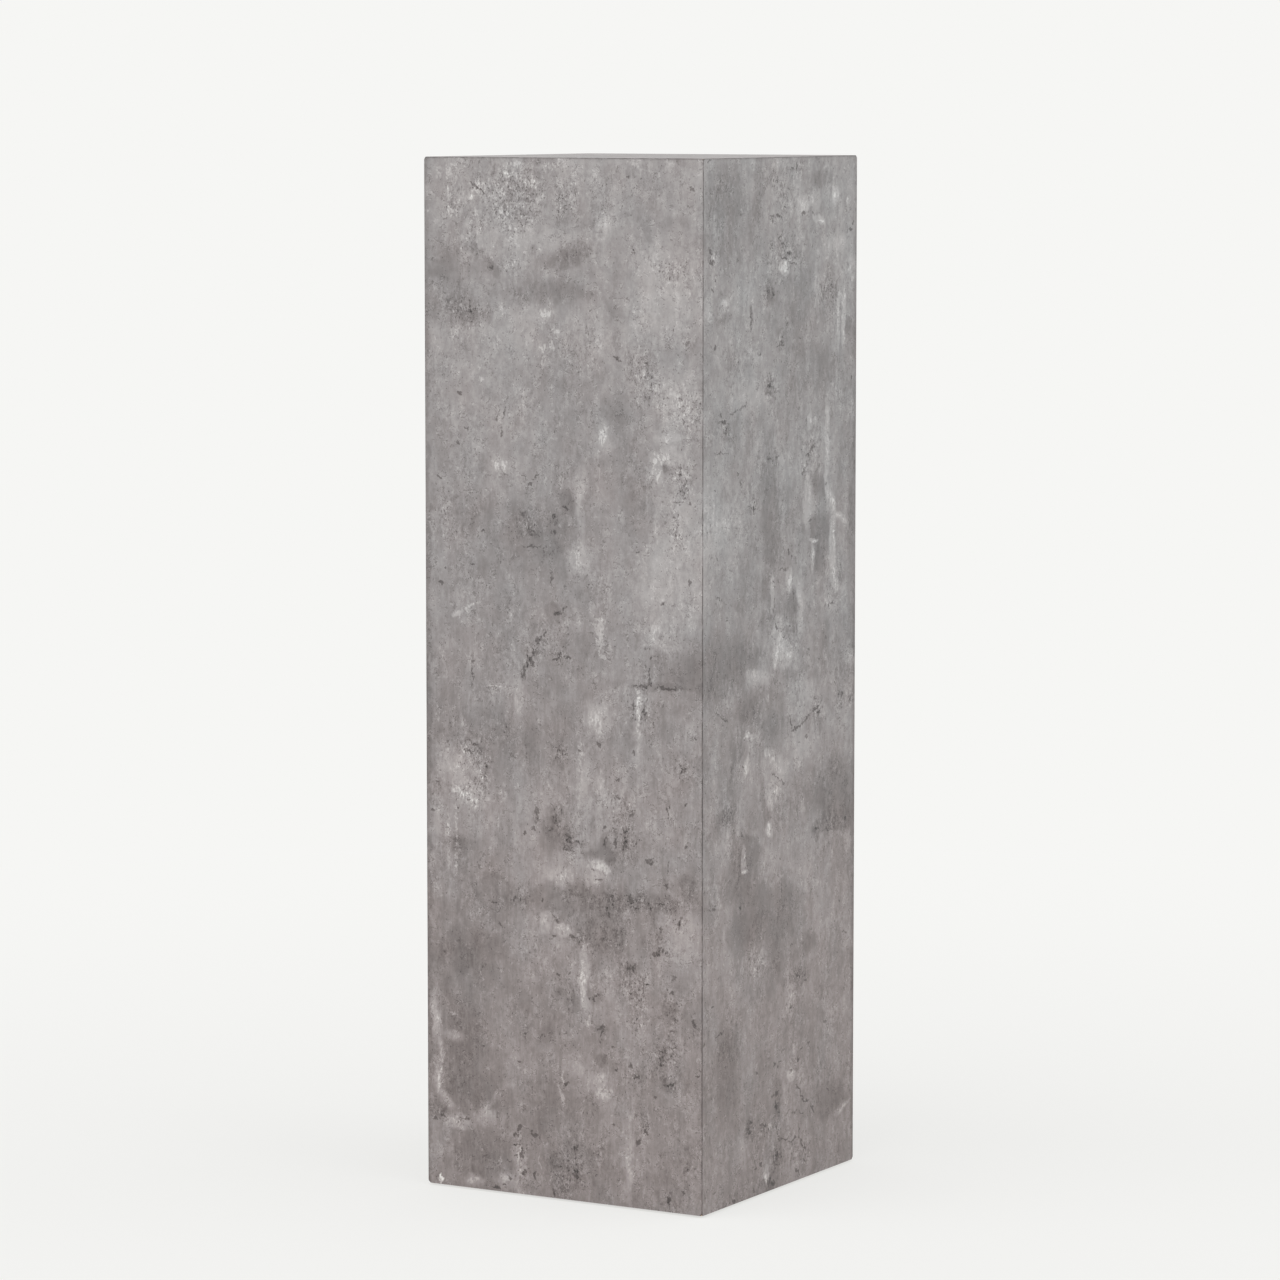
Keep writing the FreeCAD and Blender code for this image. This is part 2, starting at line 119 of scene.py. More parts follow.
SHADES = (  # soft lighter and darker patches of the cast
    # front, from the top down
    (28, 885, 40, 28, -0.03), (30, 853, 40, 11, -0.035), (52, 857, 6, 10, -0.04),
    (55, 912, 16, 5, -0.02, -40), (75, 897, 9, 5, -0.035, -50), (170, 911, 15, 8, -0.035, 35),
    (145, 902, 14, 8, -0.02), (138, 873, 50, 11, -0.028), (212, 850, 8, 42, -0.02),
    (214, 766, 13, 17, -0.025), (110, 925, 60, 12, 0.015), (200, 935, 5, 14, 0.025),
    (275, 780, 32, 22, 0.015), (270, 870, 40, 40, 0.015), (84, 707, 9, 7, 0.025),
    (200, 738, 10, 11, 0.015), (198, 735, 4, 5, 0.02), (265, 722, 13, 6, 0.05),
    (258, 704, 4, 11, 0.05), (265, 711, 5, 4, -0.04), (270, 740, 12, 5, 0.04),
    (278, 640, 34, 110, 0.022), (257, 655, 4, 16, 0.05), (266, 618, 14, 7, 0.03),
    (262, 595, 8, 12, 0.03), (258, 547, 12, 2.5, 0.04, -35), (172, 695, 8, 10, 0.03),
    (170, 622, 12, 16, 0.03), (175, 660, 3, 30, 0.02), (130, 642, 42, 30, -0.022),
    (120, 645, 10, 9, -0.035), (140, 629, 10, 5, -0.03), (103, 641, 8, 7, -0.03),
    (110, 661, 4, 3, -0.06), (142, 662, 3, 2.5, -0.05), (145, 647, 5, 4, -0.05),
    (158, 676, 10, 7, -0.035, -40), (148, 569, 8, 6, -0.05), (235, 690, 30, 40, -0.015),
    (300, 517, 60, 16, -0.018), (260, 503, 24, 3, -0.05), (190, 470, 11, 13, 0.04),
    (105, 482, 6, 18, 0.03), (237, 465, 4, 38, 0.03), (177, 400, 5, 28, 0.03),
    (197, 402, 5, 17, 0.025), (35, 418, 18, 14, 0.03), (52, 388, 14, 10, 0.035, -25),
    (118, 440, 7, 14, -0.025), (143, 360, 11, 20, -0.045), (158, 350, 7, 10, -0.05),
    (200, 350, 6, 6, -0.04), (225, 360, 12, 20, -0.03), (195, 340, 16, 5, -0.05),
    (205, 338, 6, 6, -0.05), (190, 325, 14, 11, 0.04), (147, 316, 12, 7, 0.035),
    (38, 340, 14, 5, -0.03), (80, 308, 10, 9, -0.02), (157, 295, 25, 11, -0.06),
    (170, 292, 12, 9, -0.03), (215, 298, 45, 9, -0.03), (255, 297, 40, 7, -0.025),
    (110, 290, 28, 12, -0.02), (195, 268, 24, 20, -0.03), (292, 315, 8, 10, -0.035),
    (288, 268, 20, 18, 0.03), (135, 270, 6, 7, 0.06), (155, 265, 8, 5, 0.06),
    (45, 235, 40, 18, -0.02), (10, 226, 9, 9, -0.03), (38, 220, 8, 7, -0.03),
    (22, 203, 6, 11, -0.025), (45, 130, 30, 45, -0.022), (45, 95, 34, 14, -0.025),
    (8, 165, 5, 18, 0.04), (15, 140, 4, 16, 0.04), (14, 108, 5, 14, 0.05),
    (22, 87, 9, 4, 0.045, -40), (32, 150, 9, 5, 0.045), (12, 76, 10, 7, -0.035),
    (35, 66, 14, 5, 0.035), (66, 76, 11, 9, 0.03), (76, 92, 9, 2.5, 0.03, 45),
    (65, 35, 25, 22, -0.02), (52, 10, 8, 5, 0.045), (86, 14, 10, 6, 0.04), (103, 28, 7, 22, 0.03),
    (165, 133, 10, 8, 0.03), (195, 118, 12, 12, 0.035), (177, 218, 4, 24, 0.07),
    (225, 55, 5, 60, 0.025), (225, 47, 3, 6, 0.05), (228, 15, 3, 10, 0.03), (230, 232, 5, 6, -0.07),
    (190, 203, 7, 5, -0.045), (195, 172, 6, 4, -0.05), (197, 142, 5, 4, -0.04),
    (133, 160, 7, 7, -0.035), (150, 203, 5, 4, -0.04), (273, 195, 7, 7, -0.035),
    (262, 148, 5, 10, -0.04), (270, 125, 7, 5, -0.05), (160, 30, 22, 22, -0.02),
    (130, 90, 18, 30, -0.02), (150, 860, 150, 45, 0.014), (150, 365, 160, 40, 0.015),
    (150, 450, 160, 30, -0.006),
    # right side, from the top down
    (345, 968, 32, 20, -0.02), (415, 985, 10, 18, -0.03), (410, 955, 6, 10, -0.04),
    (540, 979, 24, 6, -0.035), (503, 955, 12, 7, 0.05), (527, 957, 9, 7, 0.04),
    (535, 940, 10, 3, 0.06, -25), (567, 961, 5, 7, 0.05), (566, 915, 22, 9, 0.03),
    (465, 895, 7, 5, 0.08), (350, 865, 6, 3, 0.05), (345, 850, 12, 4, -0.03),
    (399, 848, 3, 10, -0.06), (432, 872, 5, 9, -0.04), (441, 868, 4, 5, -0.04),
    (576, 843, 2.5, 25, 0.05), (586, 840, 3, 20, 0.05), (595, 836, 6, 7, -0.04),
    (560, 872, 14, 17, -0.02), (490, 830, 45, 50, -0.012), (548, 795, 22, 22, -0.02),
    (435, 784, 9, 7, -0.03), (380, 775, 45, 16, 0.015), (340, 522, 60, 22, -0.018),
    (517, 745, 4, 7, 0.07, -30), (553, 718, 4, 36, 0.056), (512, 655, 6, 30, 0.031),
    (438, 665, 13, 50, -0.04), (370, 930, 50, 30, -0.012), (517, 670, 9, 24, 0.03),
    (535, 682, 16, 10, -0.035, -30), (535, 640, 24, 13, -0.035), (537, 618, 14, 18, -0.03),
    (566, 660, 5, 18, 0.035, 35), (580, 648, 14, 3, 0.035, -15), (565, 625, 5, 24, 0.069),
    (568, 592, 6, 13, 0.05, 20), (525, 627, 7, 2, 0.12), (525, 613, 4, 12, 0.04),
    (605, 640, 10, 70, -0.02), (476, 592, 6, 8, 0.06), (443, 585, 2.5, 16, 0.04),
    (499, 572, 5, 26, 0.035), (485, 570, 9, 13, -0.03), (449, 524, 4, 10, 0.06),
    (470, 522, 22, 10, 0.05, -25), (455, 545, 8, 12, 0.04), (425, 560, 12, 7, -0.025),
    (430, 590, 9, 13, -0.02), (415, 562, 5, 14, 0.02), (552, 535, 6, 14, -0.03),
    (577, 590, 9, 9, -0.025), (345, 525, 48, 28, -0.014), (405, 507, 14, 7, 0.035),
    (605, 505, 12, 7, 0.03), (345, 670, 40, 40, 0.01), (395, 478, 16, 12, -0.03),
    (440, 455, 13, 11, -0.025), (500, 478, 24, 16, 0.04), (430, 505, 10, 8, 0.03),
    (400, 449, 11, 2.5, 0.05), (392, 421, 4, 8, 0.06), (365, 410, 5, 32, -0.025),
    (447, 415, 20, 12, 0.05, -20), (440, 395, 16, 14, 0.05), (505, 428, 30, 16, 0.019),
    (427, 386, 6, 16, -0.04, 10), (433, 370, 8, 5, -0.03), (438, 355, 6, 6, 0.06),
    (352, 378, 14, 6, -0.045), (393, 352, 15, 3.5, -0.03), (390, 330, 22, 18, -0.035),
    (388, 332, 4, 12, 0.09), (390, 320, 6, 2.5, 0.08), (378, 308, 28, 16, -0.03),
    (570, 382, 32, 24, -0.035), (585, 350, 30, 10, -0.03), (575, 345, 30, 5, -0.03),
    (534, 344, 7, 6, -0.035), (450, 278, 48, 24, -0.032), (385, 262, 24, 16, -0.03),
    (512, 300, 36, 40, 0.012), (450, 232, 14, 22, -0.02), (520, 236, 14, 8, -0.03, 30),
    (480, 192, 8, 20, 0.025), (360, 140, 20, 38, -0.022), (500, 205, 18, 8, -0.02),
    (398, 68, 7, 10, -0.035), (386, 55, 12, 16, 0.02), (456, 85, 8, 20, -0.035),
    (455, 34, 8, 9, -0.05), (434, 18, 4, 6, 0.09), (442, 10, 14, 9, -0.02),
    (570, 70, 28, 15, -0.03), (590, 58, 15, 2.5, 0.03, 20), (482, 110, 7, 4, 0.06, -25),
    # painted shade: darker strips down the front's left corner and the right side's back corner
    (0, 520, 4, 440, -0.048), (614, 500, 5, 460, -0.041),
)

CHALK = (  # lime and laitance: flaky pale runs and patches
    # front
    (103, 994, 9, 2, 0.2), (95, 984, 6, 2, 0.16), (140, 992, 7, 3, 0.2), (120, 975, 6, 5, 0.16),
    (62, 971, 6, 5, 0.26, -35), (28, 985, 3, 7, 0.17), (17, 986, 4, 6, 0.13), (28, 965, 3, 6, 0.16),
    (31, 949, 6, 5, 0.19), (58, 948, 2, 5, 0.2), (3, 949, 2, 2, 0.2), (122, 942, 6, 3, 0.13),
    (92, 946, 6, 4, 0.13), (87, 968, 4, 5, 0.16), (52, 962, 5, 8, 0.11), (235, 995, 7, 4, 0.13),
    (136, 853, 9, 4, 0.15), (133, 819, 2, 5, 0.2), (143, 824, 2, 5, 0.2), (147, 835, 3, 4, 0.15),
    (133, 806, 2, 6, 0.2), (132, 842, 4, 4, 0.1), (64, 790, 2, 3, 0.24), (62, 800, 2, 4, 0.12),
    (65, 770, 1, 10, 0.09), (270, 757, 18, 2, 0.08), (280, 775, 8, 8, 0.08), (77, 905, 2, 3, 0.17),
    (95, 899, 9, 5, 0.08), (268, 898, 5, 5, 0.07), (198, 737, 4, 7, 0.15), (203, 747, 6, 5, 0.09),
    (80, 707, 4, 5, 0.15), (89, 707, 3, 7, 0.13), (264, 720, 9, 5, 0.15), (268, 738, 6, 3, 0.1),
    (259, 703, 3, 7, 0.15), (255, 715, 2, 10, 0.1), (275, 680, 5, 6, 0.1), (257, 650, 3, 14, 0.09),
    (254, 600, 3, 30, 0.07), (255, 555, 4, 14, 0.09, -25), (297, 562, 8, 5, 0.08),
    (172, 645, 4, 40, 0.05), (194, 690, 2, 34, 0.07), (171, 620, 4, 18, 0.06),
    (196, 603, 4, 2, 0.17), (197, 580, 8, 3, 0.08, 25), (195, 560, 6, 7, 0.19),
    (195, 545, 4, 10, 0.19), (198, 530, 4, 2, 0.24, -40), (36, 562, 5, 3, 0.24, 20),
    (50, 570, 17, 2, 0.13, 25), (230, 614, 8, 2, 0.08, 10), (75, 494, 19, 1, 0.12, 2),
    (58, 545, 1, 9, 0.1, -25), (190, 470, 7, 10, 0.12), (195, 458, 3, 8, 0.12),
    (237, 478, 2, 24, 0.11), (238, 430, 4, 38, 0.04), (173, 437, 4, 18, 0.1),
    (172, 395, 6, 34, 0.06), (197, 412, 3, 32, 0.07), (42, 457, 3, 4, 0.21), (13, 463, 3, 6, 0.12),
    (66, 406, 7, 2, 0.21, -25), (50, 385, 12, 4, 0.18, -25), (44, 433, 6, 4, 0.13),
    (38, 415, 12, 8, 0.08), (32, 393, 6, 7, 0.12), (88, 392, 5, 10, 0.1), (104, 486, 6, 17, 0.05),
    (25, 345, 1, 40, 0.11), (34, 350, 1, 26, 0.16), (34, 322, 1, 7, 0.2), (192, 328, 10, 5, 0.17),
    (204, 326, 3, 3, 0.2), (155, 316, 19, 6, 0.07), (154, 266, 8, 3, 0.16),
    (134, 272, 6, 5, 0.09, -30), (176, 216, 3, 20, 0.15), (181, 178, 3, 6, 0.1),
    (129, 170, 1, 14, 0.1), (30, 173, 2, 2, 0.22), (12, 165, 4, 8, 0.11, 30),
    (16, 130, 2, 24, 0.1, 4), (13, 103, 2, 10, 0.13), (33, 151, 7, 4, 0.09, -25),
    (99, 130, 2, 16, 0.08, 35), (153, 102, 2, 8, 0.26, 15), (153, 120, 1, 7, 0.15),
    (199, 110, 9, 5, 0.15, 25), (195, 124, 8, 8, 0.08), (227, 48, 4, 30, 0.08),
    (68, 80, 8, 7, 0.09, 40), (35, 64, 8, 4, 0.1), (52, 10, 7, 2, 0.15, 25),
    (90, 15, 6, 3, 0.14, 25), (128, 32, 2, 16, 0.11, 8), (104, 42, 2, 20, 0.14),
    (83, 32, 2, 7, 0.14, -15), (63, 40, 2, 2, 0.12), (15, 6, 2, 2.2, 3.8), (14.6, 10, 1, 2.4, 3.4),
    # right side
    (325, 908, 5, 5, 0.12), (350, 864, 3, 2, 0.17), (504, 953, 8, 6, 0.1), (521, 958, 4, 6, 0.09),
    (540, 937, 6, 1, 0.2, -12), (566, 962, 3, 5, 0.14), (595, 956, 4, 4, 0.12),
    (466, 895, 5, 4, 0.28), (478, 900, 12, 2, 0.22, -5), (474, 912, 9, 2, 0.15, -25),
    (464, 926, 6, 3, 0.1), (551, 902, 2, 2, 0.17), (598, 889, 3, 6, 0.12), (605, 880, 5, 3, 0.15),
    (575, 838, 2, 20, 0.08), (585, 846, 1, 8, 0.14), (587, 826, 2, 7, 0.13),
    (568, 776, 8, 3, 0.14, -30), (529, 765, 4, 6, 0.09), (470, 846, 3, 3, 0.09),
    (520, 744, 5, 4, 0.12, -45), (554, 722, 2, 26, 0.09), (347, 706, 4, 2, 0.09),
    (564, 665, 11, 3, 0.13, -48), (580, 648, 12, 2, 0.09, -25), (568, 627, 2, 17, 0.14),
    (566, 597, 3, 8, 0.13, 20), (575, 583, 8, 2, 0.12, -40), (526, 627, 6, 1, 0.26, 5),
    (524, 612, 4, 9, 0.1), (478, 592, 3, 8, 0.2, -25), (444, 593, 2, 8, 0.1),
    (463, 540, 12, 3, 0.1, -25), (452, 524, 2, 10, 0.2, -15), (478, 520, 9, 6, 0.1),
    (405, 512, 10, 6, 0.1, -35), (583, 566, 6, 8, 0.07), (560, 562, 8, 2, 0.08),
    (392, 452, 8, 2, 0.18, 5), (391, 419, 3, 6, 0.17, -15), (434, 484, 4, 5, 0.12),
    (432, 432, 5, 4, 0.15, -30), (452, 414, 13, 3, 0.12, -25), (446, 424, 16, 4, 0.08, -15),
    (437, 357, 4, 7, 0.15), (390, 333, 2, 10, 0.19), (388, 321, 5, 2, 0.24), (432, 303, 2, 6, 0.12),
    (440, 303, 4, 5, 0.08), (463, 306, 3, 2, 0.16), (341, 295, 3, 4, 0.17),
    (376, 290, 4, 2, 0.14, -30), (549, 440, 3, 2, 0.13), (605, 460, 3, 4, 0.13),
    (476, 226, 3, 13, 0.07), (489, 204, 4, 10, 0.1), (484, 186, 10, 3, 0.11, 10),
    (474, 170, 2, 8, 0.1), (488, 134, 3, 4, 0.15), (484, 109, 4, 4, 0.17), (470, 96, 3, 9, 0.08),
    (432, 17, 3, 5, 0.3, 35), (500, 18, 12, 3, 0.1, 8), (485, 47, 4, 3, 0.12),
    (590, 57, 15, 2, 0.11, 22), (530, 108, 8, 2, 0.07, -45), (440, 66, 5, 3, 0.12),
    (560, 306, 4, 1, 0.13), (332, 355, 3, 5, 0.08),
)

VOIDS = (  # pits, chips and short cracks
    # front
    (40, 775, 1.6, 1.4, -0.45), (58, 973, 5, 1.2, -0.42, -35), (66, 967, 4, 1, -0.36, -35),
    (214, 812, 4, 1.2, -0.24, -30), (82, 757, 1.2, 9, -0.18, -18), (90, 757, 1, 7, -0.15, -15),
    (118, 690, 2.6, 1.2, -0.3), (111, 697, 7, 0.8, -0.14, -35), (125, 698, 7, 0.8, -0.14, 40),
    (17, 592, 3, 2, -0.34), (22, 606, 1.4, 1.4, -0.3), (54, 612, 2.2, 1, -0.3),
    (66, 643, 1.6, 1.4, -0.22), (85, 614, 1.4, 1.4, -0.22), (16, 694, 2.4, 1.2, -0.3, -40),
    (157, 669, 3, 1.2, -0.3), (110, 661, 4, 2.4, -0.16), (120, 645, 5, 6, -0.12),
    (144, 661, 2.2, 1.4, -0.22), (144, 646, 3, 1.4, -0.22), (118, 631, 9, 1.2, -0.16),
    (142, 602, 1.6, 9, -0.13), (148, 568, 4, 2.4, -0.18), (156, 573, 4, 1.4, -0.18, 30),
    (127, 541, 4, 2, -0.26, 50), (134, 548, 5, 1.2, -0.22, 55), (113, 517, 2, 12, -0.16, -15),
    (121, 527, 6, 1.4, -0.2, 60), (120, 519, 2, 5, -0.2, 40), (151, 527, 1.2, 6, -0.18),
    (147, 524, 4, 1, -0.28), (160, 527, 2, 2, -0.2), (110, 508, 2, 5, -0.18),
    (293, 604, 1.2, 3, -0.26), (236, 632, 1.4, 1.2, -0.26), (263, 583, 1.6, 2, -0.2),
    (252, 531, 1.2, 1.4, -0.28), (242, 504, 8, 1.2, -0.24, 3), (270, 503, 9, 1.4, -0.28, -2),
    (250, 512, 1, 10, -0.15), (286, 690, 3, 6, -0.16), (283, 710, 2, 6, -0.18),
    (279, 679, 4, 1.2, -0.22), (293, 679, 2, 1.2, -0.24), (47, 742, 3, 1, -0.24),
    (38, 726, 1.2, 1.2, -0.28), (86, 740, 1.6, 6, -0.14), (53, 508, 1, 16, -0.16),
    (48, 430, 4.5, 1.2, -0.36, -10), (69, 417, 2.4, 3, -0.2), (64, 407, 3, 1, -0.26, -25),
    (56, 437, 2, 2, -0.22), (194, 445, 1.4, 2.4, -0.3), (173, 438, 1.4, 1.2, -0.34),
    (151, 438, 6, 2, -0.1), (148, 430, 3, 3, -0.12), (215, 413, 1.6, 1.4, -0.32),
    (215, 397, 2, 1.6, -0.22), (218, 391, 1.4, 1.4, -0.2), (244, 478, 2, 3, -0.18, 40),
    (231, 486, 1.6, 4, -0.16), (286, 426, 2.6, 2.4, -0.22), (299, 458, 1.2, 1.2, -0.28),
    (232, 440, 1.8, 1, -0.26), (253, 469, 1.4, 1, -0.24), (288, 394, 2.6, 1, -0.2, 20),
    (125, 374, 3.4, 8, -0.18), (121, 360, 1, 3, -0.22), (111, 355, 2.2, 1.2, -0.28),
    (146, 373, 2, 8, -0.16), (140, 360, 4, 2, -0.12, 40), (160, 352, 3.4, 5, -0.16),
    (158, 342, 4, 2, -0.14), (201, 367, 2, 1.4, -0.3), (212, 352, 1.6, 3, -0.3),
    (200, 352, 3, 5, -0.12), (222, 352, 3, 6, -0.18), (230, 381, 3, 4, -0.16),
    (222, 364, 2, 3, -0.16), (234, 354, 2, 3, -0.16), (250, 337, 3.6, 2.4, -0.34),
    (270, 333, 1.6, 8, -0.14), (268, 316, 2.4, 2.4, -0.22), (289, 354, 1.4, 1.4, -0.28),
    (270, 386, 1.4, 7, -0.15), (172, 350, 7, 2, -0.12), (187, 324, 1.2, 1.2, -0.3),
    (194, 316, 2.6, 1, -0.24), (229, 299, 2.4, 4, -0.24), (237, 291, 2.6, 1.2, -0.26),
    (262, 298, 5, 1.2, -0.2), (250, 293, 5, 1, -0.16), (282, 281, 2.2, 6, -0.24, -28),
    (262, 273, 1.4, 2.2, -0.24), (209, 298, 1, 7, -0.14), (204, 285, 3, 5, -0.14),
    (99, 290, 4, 1.4, -0.2, 35), (76, 285, 6, 1.2, -0.16), (131, 291, 1.2, 1.2, -0.3),
    (147, 273, 7, 1.2, -0.18, -38), (144, 257, 1.6, 1.2, -0.36), (165, 258, 3, 2, -0.2),
    (84, 263, 4, 1, -0.2, -40), (263, 253, 6, 4, -0.15), (8, 370, 3, 2, -0.2),
    (12, 398, 4, 1, -0.16), (24, 438, 2, 1.4, -0.18), (36, 375, 1.4, 1.2, -0.26),
    (230, 233, 4, 3.6, -0.2), (235, 237, 1.6, 2.4, -0.2), (256, 249, 3.6, 1.4, -0.26),
    (241, 245, 1.4, 1.2, -0.26), (274, 213, 2.4, 1.8, -0.26), (275, 228, 3, 8, -0.1),
    (149, 220, 2, 1, -0.24), (161, 223, 1.2, 1.2, -0.24), (248, 219, 2, 1, -0.24),
    (236, 207, 1.4, 4, -0.18), (228, 209, 2, 1.2, -0.2), (189, 199, 1.4, 1.2, -0.3),
    (190, 203, 8, 2, -0.12, 25), (235, 178, 0.9, 14, -0.16), (155, 165, 2, 1, -0.3),
    (197, 168, 1, 12, -0.14, -8), (160, 185, 1.4, 18, -0.1), (194, 172, 4, 2, -0.16, 20),
    (113, 160, 1.2, 1.8, -0.24), (130, 158, 5, 2, -0.12, 30), (209, 156, 1.2, 1.4, -0.34),
    (276, 161, 2, 1, -0.28), (262, 150, 2, 6, -0.14), (302, 136, 2, 1.6, -0.32),
    (298, 187, 2, 6, -0.18, 20), (274, 176, 3, 2, -0.16), (229, 139, 2.6, 2.4, -0.22),
    (236, 128, 3, 1.8, -0.24), (271, 125, 4.6, 2, -0.2, 15), (104, 132, 1.6, 1.2, -0.26),
    (213, 134, 1.2, 1.2, -0.28), (157, 115, 2.4, 1.2, -0.34), (255, 112, 2, 3, -0.16),
    (245, 77, 2.6, 1.2, -0.3, -60), (237, 66, 2.6, 2.4, -0.3), (167, 53, 2, 2, -0.24),
    (209, 80, 2, 1.2, -0.26), (105, 67, 2, 3.6, -0.32, -20), (101, 59, 2, 1.6, -0.32),
    (121, 62, 5, 1.6, -0.22, -50), (103, 50, 4, 1, -0.24), (107, 42, 1.6, 5, -0.3),
    (101, 39, 2.6, 1, -0.3), (92, 33, 3, 0.8, -0.26, 15), (94, 17, 2.8, 1.2, -0.42, -10),
    (78, 6, 3.8, 1.2, -0.46), (88, 9, 1.2, 1, -0.34), (42, 70, 4, 1, -0.24),
    (110, 24, 2.4, 2, -0.22), (122, 22, 1.6, 4, -0.18), (144, 8, 2, 5, -0.18),
    (168, 28, 2.4, 5, -0.2), (271, 14, 2, 2.6, -0.32, -20), (287, 22, 2, 1.2, -0.22),
    (191, 29, 1.1, 1.1, -0.28), (291, 44, 2, 0.9, -0.22), (18, 69, 3, 1.2, -0.22),
    (8, 67, 2, 2, -0.24), (52, 857, 2, 4, -0.16), (75, 896, 3, 3, -0.16, -45),
    (226, 983, 2, 1.2, -0.22), (294, 972, 2, 3, -0.18), (232, 912, 3, 1.4, -0.16, -40),
    # right side
    (321, 914, 2, 3, -0.26), (324, 903, 3, 2, -0.22), (331, 886, 1.4, 2.2, -0.22),
    (325, 877, 2, 1, -0.26), (330, 824, 2.2, 1.6, -0.34), (319, 998, 3, 1, -0.3),
    (481, 989, 3, 1.2, -0.26, -20), (490, 990, 1.2, 5, -0.2), (450, 977, 3, 1, -0.26),
    (473, 971, 3, 1.6, -0.14), (440, 943, 3.4, 1.6, -0.3), (441, 939, 1.4, 1.4, -0.26),
    (453, 945, 3.6, 1.4, -0.26), (503, 946, 3.4, 1.2, -0.42), (524, 945, 2.2, 0.9, -0.3),
    (600, 928, 2.6, 1, -0.34), (606, 934, 2.6, 1.2, -0.22), (438, 917, 2.4, 2.4, -0.18),
    (462, 918, 8, 1, -0.28, -25), (463, 904, 7, 1.2, -0.34, -10), (474, 908, 3, 1.6, -0.3, 30),
    (480, 899, 8, 0.9, -0.26, -8), (471, 893, 2.4, 1, -0.3), (487, 903, 3.6, 1, -0.24, -20),
    (455, 924, 6, 1, -0.22, 5), (393, 884, 1.8, 1, -0.2), (372, 904, 3, 2, -0.14),
    (434, 873, 3, 4, -0.18), (443, 870, 2.4, 2.4, -0.2), (400, 847, 1.8, 9, -0.16),
    (460, 822, 4, 1.4, -0.3, -30), (453, 820, 4, 0.9, -0.22, 10), (462, 830, 2, 1.4, -0.18),
    (471, 840, 2, 2, -0.18, -30), (418, 813, 1.4, 1, -0.26), (403, 811, 2, 0.9, -0.22),
    (496, 826, 2.4, 0.9, -0.22, -10), (434, 784, 3, 1.4, -0.26), (446, 779, 10, 2, -0.12, -15),
    (604, 784, 2, 1, -0.3), (366, 761, 9, 1, -0.18, 20), (385, 766, 10, 1, -0.16, 18),
    (345, 753, 8, 1.6, -0.22, -5), (341, 760, 2, 2, -0.18), (350, 743, 7, 3, -0.14, -15),
    (343, 724, 14, 0.7, -0.22, -2), (330, 689, 3, 1, -0.3, -20), (374, 702, 1.8, 1, -0.3),
    (379, 694, 1.2, 1.4, -0.26), (406, 668, 1.2, 5, -0.24), (437, 713, 10, 1.2, -0.16, -12),
    (451, 714, 4, 1.6, -0.18), (522, 718, 6, 2, -0.28, 35), (505, 697, 6, 1.2, -0.22, 42),
    (514, 714, 3, 1, -0.2), (532, 661, 1.4, 1, -0.3), (551, 683, 2, 1, -0.22),
    (520, 648, 3, 1.6, -0.18), (475, 621, 1.4, 1.4, -0.38), (482, 616, 1.2, 1.2, -0.34),
    (334, 626, 3, 1, -0.22, -50), (465, 605, 11, 1, -0.16, -5), (445, 595, 2.2, 0.9, -0.3),
    (531, 590, 1.8, 0.8, -0.26), (354, 564, 1.6, 0.8, -0.28), (314, 566, 1.2, 1, -0.24),
    (337, 587, 2.8, 1, -0.22, -20), (447, 570, 0.9, 12, -0.14), (452, 550, 4.6, 1.1, -0.28, -35),
    (449, 536, 0.9, 9, -0.12), (518, 523, 1.6, 1, -0.26), (485, 578, 1.2, 5, -0.18),
    (563, 563, 6, 1.2, -0.18, -5), (350, 471, 6, 1.1, -0.26, -28), (337, 478, 7, 0.9, -0.2, -30),
    (481, 455, 1.4, 6, -0.3, 20), (494, 449, 10, 1.1, -0.28, 12), (513, 456, 9, 1.1, -0.26, 25),
    (531, 464, 7, 1.2, -0.26, 10), (537, 459, 2.4, 1.8, -0.3), (530, 474, 7, 1, -0.2, -30),
    (540, 468, 5, 1, -0.2, 40), (388, 448, 1.6, 0.9, -0.34), (398, 448, 1.4, 0.9, -0.3),
    (386, 422, 1.4, 1.1, -0.26), (398, 425, 1.2, 1.4, -0.2), (512, 438, 2.4, 1.6, -0.22),
    (498, 434, 2, 0.9, -0.2), (453, 405, 11, 0.9, -0.2, -27), (466, 398, 3.6, 1.2, -0.3, -30),
    (540, 396, 3, 3, -0.13), (603, 464, 2.4, 2.6, -0.26), (586, 473, 2.4, 2.6, -0.18),
    (580, 449, 3.4, 1.1, -0.2), (384, 357, 1.6, 1, -0.3), (367, 364, 2, 2, -0.17),
    (532, 345, 3, 2, -0.18), (594, 347, 3, 2, -0.2), (560, 341, 14, 1, -0.12, -5),
    (460, 325, 1.2, 1, -0.3), (332, 295, 2, 1, -0.26), (310, 312, 1.4, 1.2, -0.24),
    (380, 287, 2.2, 0.9, -0.26, -20), (325, 293, 13, 1, -0.14, -10), (583, 266, 2.2, 1, -0.34, -20),
    (484, 237, 3.6, 0.9, -0.26, 15), (593, 234, 6, 0.9, -0.18, -20), (579, 216, 2.2, 0.8, -0.24),
    (496, 205, 5, 1.2, -0.22, -35), (512, 199, 3.4, 1.2, -0.26), (327, 200, 2.2, 0.9, -0.3, -10),
    (483, 177, 1.8, 1.2, -0.38), (342, 171, 8, 1, -0.2, 12), (310, 165, 2, 3, -0.2),
    (415, 122, 1.6, 1, -0.26), (519, 135, 3, 1.2, -0.26, -35), (505, 132, 1.2, 1.6, -0.28),
    (498, 122, 3, 0.9, -0.22, 10), (483, 114, 3, 1.1, -0.3, -35), (555, 150, 8, 1.1, -0.14, -25),
    (450, 125, 2, 1, -0.3), (456, 121, 1.8, 2, -0.22), (461, 126, 3.4, 0.8, -0.22, 5),
